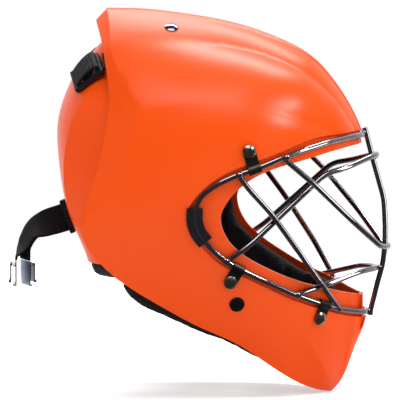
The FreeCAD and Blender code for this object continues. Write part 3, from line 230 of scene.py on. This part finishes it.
# Front shell: one piece of ABS, injection moulded in bright orange, with broad crowned facets and
# a satin skin. The wall steps down to a lip round the face, which carries the cage.
SHELL_CREASE = 26
SHELL_LIGHT, SHELL_DEEP = "FD5500", "F84F00"
JOIN_WITHIN, SLIVER = 2e-6, 1e-6


def joined_mesh(node):
    """The mesh of a CAD node with its loose corners joined."""
    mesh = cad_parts[node].data.copy()
    mesh.materials.clear()
    if "custom_normal" in mesh.attributes:
        mesh.attributes.remove(mesh.attributes["custom_normal"])
    form = bmesh.new()
    form.from_mesh(mesh)
    bmesh.ops.remove_doubles(form, verts=form.verts, dist=JOIN_WITHIN)
    bmesh.ops.dissolve_degenerate(form, edges=form.edges, dist=SLIVER)
    form.to_mesh(mesh)
    form.free()
    return mesh


def smoothed(mesh, crease):
    """Shades a mesh smooth between edges sharper than the crease angle, in degrees."""
    mesh.shade_smooth()
    mesh.set_sharp_from_angle(angle=math.radians(crease))


def on_show(name, mesh, material, body, nodes=()):
    """A finished piece of a mesh: its material, body and the CAD nodes it stands for."""
    mesh.name = name
    mesh.materials.clear()
    mesh.materials.append(material)
    piece = placed(name, mesh)
    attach(piece, body)
    if nodes:
        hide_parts(*nodes)
    return piece


def skinned(node, material, body, crease):
    """A rigid CAD node shown with its curved faces shaded smooth between its creases."""
    mesh = joined_mesh(node)
    smoothed(mesh, crease)
    return on_show(node + "_skin", mesh, material, body, [node])


# Moulded ABS: a satin orange. The mould's grain, about 0.6 mm, gives the soft edge of its
# highlights, and slow changes of gloss and faint waves come from the melt's flow.
abs_orange, tree, shader, place = surface("moulded_abs_orange", IOR=1.53, Specular_IOR_Level=0.34)
flow = grains(tree, place, per_metre=9.0, detail=3.0, Roughness=0.45)
coloured(tree, shader, flow, SHELL_DEEP, SHELL_LIGHT)
glossed(tree, shader, grains(tree, place, per_metre=26.0, detail=4.0), least=0.28, most=0.36)
waves = raised(tree, grains(tree, place, per_metre=22.0, detail=1.0), strength=0.10, depth=0.002,
               Normal=eased(tree, radius=0.0016))
reliefed(tree, shader, raised(tree, grains(tree, place, per_metre=1600.0, detail=2.0),
                              strength=0.10, depth=0.0002, Normal=waves))
skinned("front_shell", abs_orange, "shell", SHELL_CREASE)


# Cage: round steel rod of 4.8 mm, bent, welded where the bars meet the ring and the centre bar,
# then plated black chrome, which mirrors the lamps as thin bright streaks along each bar.
BAR_CREASE = 40
black_chrome, tree, shader, place = surface("black_chrome_rod", Metallic=1.0)
film = grains(tree, place, per_metre=60.0, detail=3.0)
coloured(tree, shader, film, "9A989E", "B4B2B8")
glossed(tree, shader, film, least=0.10, most=0.18)
drawn = grains(tree, place, per_metre=420.0, detail=2.0)
reliefed(tree, shader, raised(tree, drawn, strength=0.06, depth=0.0002))
for node in ("cage_ring", "centre_bar", "crossing_bar", "upper_loop", "lower_loop", "side_bars"):
    cage_only.objects.link(skinned(node, black_chrome, "shell", BAR_CREASE))

# Weld beads: where two bars meet, the torch leaves a small swelling that the plating covers.
# Each is a short rounded bead, a little fatter than the rods, laid along the joint.
BEAD_LENGTH, BEAD_WIDTH, BEAD_UNEVEN = 0.0076, 0.0059, 0.08
BEAD_SEGMENTS, BEAD_RINGS, BEAD_SEED = 10, 7, 7
CENTRE_WELDS = tuple(((x, 0.0, z), (0, 1, 0)) for x, z in (
    (0.1415, 0.0462), (0.1619, -0.0512), (0.1512, 0.0268), (0.1552, -0.0700), (0.1452, -0.1079)))
LEFT_WELDS = (
    ((0.0806, 0.0857, 0.0323), (1, -1, 0.3)), ((0.0298, 0.0973, -0.0553), (1, -0.4, -0.8)),
    ((0.0889, 0.0672, -0.0870), (1, -0.7, -0.5)), ((0.0412, 0.1030, 0.0186), (1, -0.2, 0.4)),
    ((0.1222, 0.0345, -0.1024), (1, -1, -0.3)),
)


def mirrored_stations(stations):
    """The same places and directions on the helmet's other side."""
    return [((x, -y, z), (u, -v, w)) for (x, y, z), (u, v, w) in stations]


def laid_forms():
    """A tree that lays a rounded form on each point of a mesh, along the point's own direction."""
    tree = bpy.data.node_groups.new("laid_forms", "GeometryNodeTree")
    tree.interface.new_socket("Points", in_out="INPUT", socket_type="NodeSocketGeometry")
    for name in ("Length", "Width", "Uneven"):
        tree.interface.new_socket(name, in_out="INPUT", socket_type="NodeSocketFloat")
    tree.interface.new_socket("Finish", in_out="INPUT", socket_type="NodeSocketMaterial")
    tree.interface.new_socket("Forms", in_out="OUTPUT", socket_type="NodeSocketGeometry")
    given = add(tree, "NodeGroupInput")
    form = add(tree, "GeometryNodeMeshUVSphere", values={
        "Segments": BEAD_SEGMENTS, "Rings": BEAD_RINGS, "Radius": 0.5})
    along = add(tree, "GeometryNodeInputNamedAttribute", values={"Name": "along"}, data_type="FLOAT_VECTOR")
    turn = add(tree, "FunctionNodeAlignRotationToVector", {"Vector": along.outputs["Attribute"]}, axis="X")
    size = add(tree, "ShaderNodeCombineXYZ", {
        "X": given.outputs["Length"], "Y": given.outputs["Width"], "Z": given.outputs["Width"]})
    less = add(tree, "ShaderNodeMath", {1: given.outputs["Uneven"]}, {0: 1.0}, operation="SUBTRACT")
    more = add(tree, "ShaderNodeMath", {1: given.outputs["Uneven"]}, {0: 1.0}, operation="ADD")
    spread = add(tree, "FunctionNodeRandomValue", {2: less.outputs[0], 3: more.outputs[0]},
                 {"Seed": BEAD_SEED}, data_type="FLOAT")
    scaled = add(tree, "ShaderNodeVectorMath", {0: size.outputs[0], "Scale": spread.outputs[1]},
                 operation="SCALE")
    laid = add(tree, "GeometryNodeInstanceOnPoints", {
        "Points": given.outputs["Points"], "Instance": form.outputs["Mesh"],
        "Rotation": turn.outputs[0], "Scale": scaled.outputs[0]})
    real = add(tree, "GeometryNodeRealizeInstances", {0: laid.outputs[0]})
    smooth = add(tree, "GeometryNodeSetShadeSmooth", {0: real.outputs[0]})
    dressed = add(tree, "GeometryNodeSetMaterial", {
        0: smooth.outputs[0], "Material": given.outputs["Finish"]})
    add(tree, "NodeGroupOutput", {0: dressed.outputs[0]})
    return tree


def plain_mesh(holder):
    """The evaluated mesh of an object, which is then removed."""
    bpy.context.view_layer.update()
    evaluated = holder.evaluated_get(bpy.context.evaluated_depsgraph_get())
    mesh = bpy.data.meshes.new_from_object(evaluated)
    bpy.data.objects.remove(holder)
    return mesh


def laid(name, spots, length, width, uneven, material, body, slot):
    """One piece of many small rounded forms, each at a spot of (place, direction)."""
    mesh = bpy.data.meshes.new(name)
    mesh.from_pydata([spot for spot, _ in spots], [], [])
    attribute = mesh.attributes.new("along", "FLOAT_VECTOR", "POINT")
    for entry, (_, along) in zip(attribute.data, spots):
        entry.vector = Vector(along).normalized()
    holder = placed(name, mesh)
    modifier = holder.modifiers.new("forms", "NODES")
    modifier.node_group = laid_forms()
    given = {"Length": length, "Width": width, "Uneven": uneven, "Finish": material}
    for item in modifier.node_group.interface.items_tree:
        if item.in_out == "INPUT" and item.name in given:
            modifier[item.identifier] = given[item.name]
    return on_show(name, plain_mesh(holder), material, body)


welds = [CENTRE_WELDS[0]]
for left, right in zip(LEFT_WELDS, mirrored_stations(LEFT_WELDS)):
    welds += [left, right]
welds += CENTRE_WELDS[1:]
laid("weld_beads", welds, BEAD_LENGTH, BEAD_WIDTH, BEAD_UNEVEN, black_chrome, "shell", "cage_wire")


# Cage clips: folded strips of blackened sheet steel, screwed to the shell and hooked over the
# ring. Their edges are sheared, so they catch a thin line of light.
SMALL_CREASE = 32
black_sheet, tree, shader, place = surface("blackened_sheet_steel", Metallic=1.0)
scale = grains(tree, place, per_metre=150.0, detail=4.0)
coloured(tree, shader, scale, "4A4744", "6A6660")
glossed(tree, shader, scale, least=0.34, most=0.52)
reliefed(tree, shader, raised(tree, scale, strength=0.12, depth=0.0002, Normal=eased(tree, radius=0.0003)))
skinned("cage_clips", black_sheet, "shell", SMALL_CREASE)

# Screws and nuts: machine screws with a domed head and a cross recess, in blackened steel that
# has rubbed to grey on the dome, and hexagon nuts behind the shell.
screw_steel, tree, shader, place = surface("blackened_screw_steel", Metallic=1.0)
rub = grains(tree, place, per_metre=320.0, detail=3.0)
coloured(tree, shader, rub, "8E887E", "C4BDB3")
glossed(tree, shader, rub, least=0.20, most=0.36)
reliefed(tree, shader, raised(tree, rub, strength=0.10, depth=0.0002))
skinned("clip_screws", screw_steel, "shell", SMALL_CREASE)
skinned("clip_nuts", screw_steel, "shell", SMALL_CREASE)

# Studs, rivets and washers: the chin strap's studs have black lacquered caps on the cheeks, and
# the upper straps' rivets have bright plated domes on the roof. Plain washers hold both inside.
lacquer, tree, shader, place = surface("black_lacquered_cap", Coat_Weight=0.6, Coat_Roughness=0.08)
specks = grains(tree, place, per_metre=240.0, detail=2.0)
coloured(tree, shader, specks, "030304", "0A0A0C")
glossed(tree, shader, specks, least=0.22, most=0.34)
skinned("cheek_studs", lacquer, "shell", SMALL_CREASE)
plated, tree, shader, place = surface("bright_plated_rivet", Metallic=1.0)
hairs = grains(tree, place, per_metre=500.0, detail=2.0)
coloured(tree, shader, hairs, "7C8290", "A0A6B4")
glossed(tree, shader, hairs, least=0.08, most=0.16)
skinned("crown_rivets", plated, "shell", SMALL_CREASE)
for node in ("rivet_washers", "stud_washers"):
    skinned(node, screw_steel, "shell", SMALL_CREASE)

# Ring sleeves: soft black rubber moulded over the ring's rear bend, so that the steel doesn't rub
# the shell there. Fine ribs run round them.
sleeve_rubber, tree, shader, place = surface("moulded_sleeve_rubber", IOR=1.52)
dust = grains(tree, place, per_metre=180.0, detail=4.0)
coloured(tree, shader, dust, "0F0F16", "1D1D27")
glossed(tree, shader, dust, least=0.50, most=0.68)
ribs = add(tree, "ShaderNodeTexWave", {"Vector": place}, {"Scale": 100.0, "Distortion": 0.2},
           bands_direction="Z")
reliefed(tree, shader, raised(tree, ribs.outputs["Fac"], strength=0.18, depth=0.0004))
skinned("ring_sleeves", sleeve_rubber, "shell", SMALL_CREASE)


# Pads of the front shell: cut blocks of closed cell foam, faced with black knitted cloth. They
# swell a little between their edges, and a piped seam runs round the side of each.
PAD_VOXEL, PAD_SWELL, PAD_CLEAR, PAD_SEARCH = 0.0032, 0.0022, 0.0004, 0.008
PAD_ROUNDING, NECK_ROUNDING, ROUND_SHARE = 6, 2, 0.5
CLOTH_PRESSURE, CLOTH_QUALITY, CLOTH_STEPS = 4, 4, 20
SEAM_DEPTH, SEAM_WIDTH, SEAM_HEIGHT = 0.0125, 0.0011, 2.5
CHANNEL_WIDTH, CHANNEL_DEPTH = 0.0026, 0.0016


def knitted(name, dark, light):
    """Knitted facing cloth: loops of about 1.2 mm in rows, with a soft sheen and some lint."""
    material, tree, shader, place = surface(
        name, Roughness=0.88, Sheen_Weight=0.22, Sheen_Roughness=0.45, Sheen_Tint=linear("8A8D96"))
    loops = add(tree, "ShaderNodeTexVoronoi", {"Vector": place}, {"Scale": 820.0})
    rows = add(tree, "ShaderNodeTexWave", {"Vector": place}, {"Scale": 130.0, "Distortion": 1.2},
               bands_direction="Z")
    coloured(tree, shader, grains(tree, place, per_metre=45.0, detail=5.0), dark, light)
    knit = add(tree, "ShaderNodeMath", {0: loops.outputs["Distance"], 1: rows.outputs["Fac"]},
               operation="ADD")
    seam = add(tree, "ShaderNodeAttribute", attribute_name="seam")
    relief = add(tree, "ShaderNodeMath", {0: seam.outputs["Fac"], 1: knit.outputs[0]}, operation="ADD")
    reliefed(tree, shader, raised(tree, relief.outputs[0], strength=0.45, depth=0.0005))
    return material


def walls_of(*nodes):
    """A search tree over the rigid pieces that a pad lies against."""
    form = bmesh.new()
    for node in nodes:
        form.from_mesh(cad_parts[node].data)
    bmesh.ops.remove_doubles(form, verts=form.verts, dist=JOIN_WITHIN)
    tree = BVHTree.FromBMesh(form)
    form.free()
    return tree


def rounded_off(node, name, rounding):
    """The mesh of a pad's CAD solid, evenly divided and with its edges rounded."""
    holder = placed(name, joined_mesh(node))
    remesh = holder.modifiers.new("even", "REMESH")
    remesh.mode = "VOXEL"
    remesh.voxel_size = PAD_VOXEL
    round_off = holder.modifiers.new("round", "SMOOTH")
    round_off.iterations = rounding
    round_off.factor = ROUND_SHARE
    return plain_mesh(holder)


def blown_up(name, mesh):
    """The mesh after its cloth was pressed outwards for some steps, without weight."""
    holder = placed(name, mesh)
    cloth = holder.modifiers.new("cloth", "CLOTH")
    cloth.settings.use_pressure = True
    cloth.settings.uniform_pressure_force = CLOTH_PRESSURE
    cloth.settings.effector_weights.gravity = 0
    cloth.settings.quality = CLOTH_QUALITY
    for step in range(1, CLOTH_STEPS + 1):
        scene.frame_set(step)
    mesh = plain_mesh(holder)
    scene.frame_set(1)
    return mesh


def kept_clear(points, walls, clear):
    """Moves points back to the open side of the walls, at least so far from them."""
    for point in points:
        near, normal, _, _ = walls.find_nearest(point.co, PAD_SEARCH)
        if near is not None and (point.co - near).dot(normal) < clear:
            point.co = near + normal * clear


def sewn(mesh, walls, channels):
    """Marks a pad's seam for its material and presses its sewn channels in."""
    seam = mesh.attributes.new("seam", "FLOAT", "POINT")
    normals = [vertex.normal.copy() for vertex in mesh.vertices]
    for vertex, normal, entry in zip(mesh.vertices, normals, seam.data):
        gap = walls.find_nearest(vertex.co)[3]
        entry.value = SEAM_HEIGHT * math.exp(-((gap - SEAM_DEPTH) / SEAM_WIDTH) ** 2)
        press = 0
        for spot, across in channels:
            away = (vertex.co - Vector(spot)).dot(Vector(across).normalized())
            press = max(press, math.exp(-(away / CHANNEL_WIDTH) ** 2))
        if gap > SEAM_DEPTH:
            vertex.co = vertex.co - normal * CHANNEL_DEPTH * press


def cushion(node, name, material, body, walls, channels=(), rounding=PAD_ROUNDING):
    """A pad with the room of its CAD solid: rounded, swollen, with a seam and sewn channels."""
    mesh = rounded_off(node, name, rounding)
    start = [vertex.co.copy() for vertex in mesh.vertices]
    mesh = blown_up(name, mesh)
    for vertex, place in zip(mesh.vertices, start):
        move = vertex.co - place
        most = min(PAD_SWELL, walls.find_nearest(place)[3] / 2)
        if move.length > most:
            vertex.co = place + move.normalized() * most
    holder = placed(name, mesh)
    finer = holder.modifiers.new("finer", "SUBSURF")
    finer.levels = 1
    finer.render_levels = 1
    mesh = plain_mesh(holder)
    kept_clear(mesh.vertices, walls, PAD_CLEAR)
    sewn(mesh, walls, channels)
    mesh.shade_smooth()
    pad = on_show(name, mesh, material, body, [node])
    return pad


# Each channel is a plane through a place, across a direction, that the sewing presses in.
JAW_CHANNELS = (((-0.020, 0, -0.060), (1, 0, 0.55)), ((0.030, 0, -0.085), (1, 0, 0.35)),
                ((0.075, 0, -0.100), (1, 0, 0.2)))
TEMPLE_CHANNELS = (((-0.010, 0, 0.030), (1, 0, 0)),)
CROWN_CHANNELS = (((0, 0.030, 0.100), (0, 1, 0)), ((0, -0.030, 0.100), (0, 1, 0)))
FOREHEAD_CHANNELS = (((0.10, 0.035, 0.080), (0, 1, 0)), ((0.10, -0.035, 0.080), (0, 1, 0)))
pad_cloth = knitted("knitted_pad_cloth", "0B0C10", "17181D")
shell_walls = walls_of("front_shell", "clip_nuts", "stud_washers", "rivet_washers")
for part, channels in (("jaw_{}_left", JAW_CHANNELS), ("temple_{}_left", TEMPLE_CHANNELS),
                       ("jaw_{}_right", JAW_CHANNELS), ("temple_{}_right", TEMPLE_CHANNELS),
                       ("crown_{}", CROWN_CHANNELS), ("forehead_{}", FOREHEAD_CHANNELS)):
    cushion(part.format("pad"), part.format("cushion"), pad_cloth, "shell",
            shell_walls, channels)


# Chin strap: 20 mm webbing that runs from a stud inside each cheek to the moulded chin cup. The
# webbing is woven nylon, ribbed across, and its stations are (place, direction across the band).
BAND_STEP, BAND_ROUND, BAND_CREASE = 0.0015, 6, 60
WAVE_LENGTH = 0.31
CHIN_BAND = (0.020, 0.0016)
CHIN_STATIONS = (
    ((0.02936, 0.08046, -0.09167), (0.0, 0.2429, 0.9701)),
    ((0.03671, 0.07903, -0.09131), (0.0, 0.2429, 0.9701)),
    ((0.04652, 0.07711, -0.09083), (0.0, 0.2429, 0.9701)),
    ((0.07873, 0.02275, -0.10710), (0.0, 0.0, 1.0)),
)


def webbing(name, dark, light, rib, height):
    """Woven nylon: ribs across the band with grooves as wide between them, and finer warp yarns. Its colour
    is painted shade, darker in the grooves and lighter on the tops of ribs and yarns.
    """
    material, tree, shader, _ = surface(
        name, Roughness=0.76, Sheen_Weight=0.05, Sheen_Roughness=0.5, Sheen_Tint=linear("7D828C"))
    band = add(tree, "ShaderNodeUVMap", uv_map="band")
    ribs = add(tree, "ShaderNodeTexWave", {"Vector": band.outputs[0]}, {"Scale": WAVE_LENGTH / rib / 2},
               bands_direction="X")
    warp = add(tree, "ShaderNodeTexWave", {"Vector": band.outputs[0]}, {"Scale": 260.0, "Distortion": 0.6},
               bands_direction="Y")
    weave_and_groove_shade = add(tree, "ShaderNodeMath", {0: ribs.outputs["Fac"], 1: warp.outputs["Fac"]},
                  operation="MULTIPLY")
    # Painted shade: the colour follows the relief, darker in the grooves between ribs and yarns and lighter
    # on their tops.
    coloured(tree, shader, weave_and_groove_shade.outputs[0], dark, light)
    relief = add(tree, "ShaderNodeMath", {0: ribs.outputs["Fac"], 1: weave_and_groove_shade.outputs[0]}, operation="ADD")
    reliefed(tree, shader, raised(tree, relief.outputs[0], strength=0.6, depth=height))
    return material


def band_line(stations):
    """Closely spaced places along a smooth line through the stations, with the band's direction."""
    places = [Vector(centre) for centre, _ in stations]
    wide = [Vector(across).normalized() for _, across in stations]
    last = len(places) - 2
    line = []
    for i in range(last + 1):
        before = places[i - 1] if i else places[0] * 2 - places[1]
        after = places[i + 2] if i < last else places[-1] * 2 - places[-2]
        a, b = places[i], places[i + 1]
        count = max(2, round((b - a).length / BAND_STEP))
        slope_a = (b - before) / 2 if i else b - a
        slope_b = (after - a) / 2 if i < last else b - a
        for step in range(count + (i == last)):
            t = step / count
            point = (a * (2 * t ** 3 - 3 * t ** 2 + 1) + slope_a * (t ** 3 - 2 * t ** 2 + t)
                     + b * (3 * t ** 2 - 2 * t ** 3) + slope_b * (t ** 3 - t ** 2))
            line.append((point, wide[i].lerp(wide[i + 1], t).normalized()))
    return line


def band_outline(width, thick):
    """The corners of a band's cross section, with rounded edges, as (across, up) from its middle."""
    half = []
    for turn in range(BAND_ROUND + 1):
        angle = -math.pi / 2 + math.pi * turn / BAND_ROUND
        half.append((width / 2 - thick / 2 + thick / 2 * math.cos(angle), thick / 2 * math.sin(angle)))
    half += [(width / 4, thick / 2), (0, thick / 2), (-width / 4, thick / 2)]
    return half + [(-x, -z) for x, z in half]


def band_mesh(stations, width, thick):
    """A flat band with rounded edges; its UV map holds metres along and round it."""
    line = band_line(stations)
    outline = band_outline(width, thick)
    form = bmesh.new()
    rows, travelled, lengths = [], 0, []
    for i, (point, wide) in enumerate(line):
        ahead = line[min(i + 1, len(line) - 1)][0] - line[max(i - 1, 0)][0]
        up = ahead.cross(wide).normalized()
        across = up.cross(ahead).normalized()
        rows.append([form.verts.new(point + across * x + up * z) for x, z in outline])
        travelled += (point - line[i - 1][0]).length if i else 0
        lengths.append(travelled)
    layer = form.loops.layers.uv.new("band")
    count = len(outline)
    round_place = [0]
    for k in range(count):
        (x, z), (u, w) = outline[k], outline[(k + 1) % count]
        round_place.append(round_place[-1] + math.hypot(u - x, w - z))
    for i in range(len(rows) - 1):
        for k in range(count):
            n = (k + 1) % count
            face = form.faces.new((rows[i][k], rows[i][n], rows[i + 1][n], rows[i + 1][k]))
            spots = ((lengths[i], round_place[k]), (lengths[i], round_place[k + 1]),
                     (lengths[i + 1], round_place[k + 1]), (lengths[i + 1], round_place[k]))
            for corner, spot in zip(face.loops, spots):
                corner[layer].uv = spot
    form.faces.new(list(reversed(rows[0])))
    form.faces.new(rows[-1])
    bmesh.ops.recalc_face_normals(form, faces=form.faces)
    mesh = bpy.data.meshes.new("band")
    form.to_mesh(mesh)
    form.free()
    smoothed(mesh, BAND_CREASE)
    return mesh


# The darker of the two colours is painted shade in the webbing's grooves.
black_webbing = webbing("woven_nylon_webbing", "050609", "0E1015", rib=0.0009, height=0.0002)
for side, stations in (("left", CHIN_STATIONS), ("right", mirrored_stations(CHIN_STATIONS))):
    on_show("chin_band_" + side, band_mesh(stations, *CHIN_BAND), black_webbing, "shell",
            ["chin_strap_" + side])

# Chin cup: a shallow moulded bowl of black nylon that the chin rests in. Spark erosion of the
# mould gives it a fine even grain.
moulded_black, tree, shader, place = surface("moulded_black_nylon", IOR=1.5)
cloudy = grains(tree, place, per_metre=70.0, detail=2.0)
coloured(tree, shader, cloudy, "0C0E12", "191C22")
glossed(tree, shader, cloudy, least=0.38, most=0.52)
reliefed(tree, shader, raised(tree, grains(tree, place, per_metre=1400.0, detail=2.0),
                              strength=0.16, depth=0.0002, Normal=eased(tree, radius=0.0005)))
skinned("chin_cup", moulded_black, "shell", SMALL_CREASE)


# Upper straps: 25 mm grosgrain webbing from the rivets under the roof, out behind the shell's
# rear edge and round the buckles' bars, where the doubled end lies on top as a ribbed loop.
UPPER_BAND = (0.025, 0.0018)
UPPER_STATIONS = (
    ((-0.01644, 0.01978, 0.13410), (0.4574, 0.7384, -0.4955)),
    ((-0.02304, 0.02320, 0.13311), (0.4574, 0.7384, -0.4955)),
    ((-0.02964, 0.02663, 0.13211), (0.4574, 0.7384, -0.4955)),
    ((-0.04799, 0.03422, 0.12650), (0.3872, 0.7879, -0.4788)),
    ((-0.06794, 0.04013, 0.12170), (0.3135, 0.8317, -0.4582)),
    ((-0.07651, 0.04219, 0.11114), (0.2380, 0.8688, -0.4342)),
    ((-0.08032, 0.04259, 0.10986), (0.2380, 0.8688, -0.4342)),
)
BUCKLE_CENTRE = Vector((-0.09179, 0.04045, 0.09791))
BUCKLE_DOWN = Vector((-0.620, -0.210, -0.760)).normalized()
BUCKLE_FACING = Vector((-0.568, 0.487, 0.664))
# The loop's places on the buckle, as (down, out) from its centre.
LOOP_PLACES = (
    (-0.0135, 0.0030), (-0.0145, 0.0056), (-0.0095, 0.0078), (0.0000, 0.0088), (0.0090, 0.0080),
    (0.0122, 0.0062), (0.0112, 0.0030),
)
# The darker of the two colours is painted shade in the ribbed webbing's grooves.
ribbed_webbing = webbing("ribbed_nylon_webbing", "050609", "14161B", rib=0.0016, height=0.0005)
buckle_out = (BUCKLE_FACING - BUCKLE_DOWN * BUCKLE_FACING.dot(BUCKLE_DOWN)).normalized()
buckle_wide = tuple(buckle_out.cross(BUCKLE_DOWN).normalized())
loop_stations = [(tuple(BUCKLE_CENTRE + BUCKLE_DOWN * down + buckle_out * out), buckle_wide)
                 for down, out in LOOP_PLACES]
for side, upper, over in (
        ("left", UPPER_STATIONS, loop_stations),
        ("right", mirrored_stations(UPPER_STATIONS), mirrored_stations(loop_stations))):
    on_show("upper_band_" + side, band_mesh(upper, *UPPER_BAND), ribbed_webbing, "shell",
            ["upper_strap_" + side])
    on_show("buckle_loop_" + side, band_mesh(over, *UPPER_BAND), ribbed_webbing, "plate")

# Buckles: ladder locks moulded in black nylon, with a toothed tab that grips the webbing. They
# ride on the back plate's shoulders.
for side in ("left", "right"):
    skinned("buckle_" + side, moulded_black, "plate", SMALL_CREASE)


# Back plate: a second moulding of the same orange ABS, which tilts back on the upper straps. Foam
# lines it, and a softer strip of foam under its lower edge rests on the neck.
BACK_CHANNELS = (((-0.1, 0.030, 0), (0, 1, 0)), ((-0.1, -0.030, 0), (0, 1, 0)),
                 ((-0.1, 0, 0.040), (0, 0, 1)))
neck_cloth = knitted("knitted_neck_cloth", "17171E", "26262F")
skinned("back_plate", abs_orange, "plate", SHELL_CREASE)
plate_walls = walls_of("back_plate", "strap_anchor_bar", "lower_strap")
cushion("back_pad", "back_cushion", pad_cloth, "plate", plate_walls, BACK_CHANNELS)
cushion("neck_pad", "neck_cushion", neck_cloth, "plate", plate_walls,
        rounding=NECK_ROUNDING)


# Lower strap: doubled 24 mm webbing looped round a steel pin behind the plate's slot. A moulded
# keeper holds both layers, and beyond it they hang free, twist and part at their ends.
LOWER_BAND = (0.024, 0.0018)
ROOT_TILT = math.radians(19.3336)
ROOT_WIDE = (0.3311, 0.0, -0.9436)
REAR_TAIL = (
    ((-0.11696, -0.00105, -0.02862), ROOT_WIDE), ((-0.12121, -0.00105, -0.03011), ROOT_WIDE),
    ((-0.13417, -0.00093, -0.03383), (0.3788, -0.4592, -0.8035)),
    ((-0.14559, -0.00062, -0.03948), (0.3512, -0.8029, -0.4817)),
    ((-0.15273, -0.00051, -0.05152), (0.4462, -0.8727, -0.1983)),
    ((-0.15921, 0.0, -0.06204), (0.1005, -0.9949, 0.0)),
    ((-0.15921, 0.0, -0.06579), (0.1005, -0.9949, 0.0)),
)
FRONT_TAIL = (
    ((-0.11696, 0.00105, -0.02862), ROOT_WIDE), ((-0.12121, 0.00105, -0.03011), ROOT_WIDE),
    ((-0.13379, 0.00093, -0.03472), (0.3788, -0.4592, -0.8035)),
    ((-0.14441, 0.00062, -0.04069), (0.3512, -0.8029, -0.4817)),
    ((-0.15108, 0.00051, -0.05229), (0.4462, -0.8727, -0.1983)),
    ((-0.15167, 0.0, -0.06204), (0.4392, -0.8984, 0.0)),
    ((-0.15167, 0.0, -0.06579), (0.4392, -0.8984, 0.0)),
)
skinned("strap_anchor_bar", screw_steel, "plate", SMALL_CREASE)
skinned("strap_keeper", moulded_black, "plate", SMALL_CREASE)
# The strap's root passes the plate's slot, so it keeps its CAD form under the same webbing.
root = joined_mesh("lower_strap")
root.uv_layers.new(name="band")
root_along = Vector((math.cos(ROOT_TILT), 0, math.sin(ROOT_TILT)))
root_across = Vector((-math.sin(ROOT_TILT), 0, math.cos(ROOT_TILT)))
for corner, entry in zip(root.loops, root.uv_layers["band"].data):
    spot = root.vertices[corner.vertex_index].co
    entry.uv = (spot.dot(root_along), spot.dot(root_across))
smoothed(root, SMALL_CREASE)
on_show("strap_root_band", root, black_webbing, "plate", ["lower_strap"])
for layer, stations in (("rear", REAR_TAIL), ("front", FRONT_TAIL)):
    on_show(layer + "_tail_band", band_mesh(stations, *LOWER_BAND), black_webbing, "tail",
            ["strap_tail_" + layer])


# Clasps: nickel plated sheet steel, stamped and folded, with a lever that shuts on the throat
# guard's edge. Rolling left faint lines along the sheet.
CLASP_CREASE = 30
ROLLED_LINES = (900.0, 900.0, 60.0)
nickel, tree, shader, place = surface("nickel_plated_sheet", Metallic=1.0)
lines = add(tree, "ShaderNodeMapping", {"Vector": place}, {"Scale": ROLLED_LINES})
brushed = grains(tree, lines.outputs[0], per_metre=1.0, detail=3.0)
coloured(tree, shader, brushed, "98A3B6", "C4CCDA")
glossed(tree, shader, brushed, least=0.20, most=0.36)
reliefed(tree, shader, raised(tree, brushed, strength=0.08, depth=0.0001, Normal=eased(tree, radius=0.0002)))
for end in ("rear", "front"):
    skinned("clasp_frame_" + end, nickel, end + "_clasp", CLASP_CREASE)
    skinned("clasp_lever_" + end, nickel, end + "_lever", CLASP_CREASE)
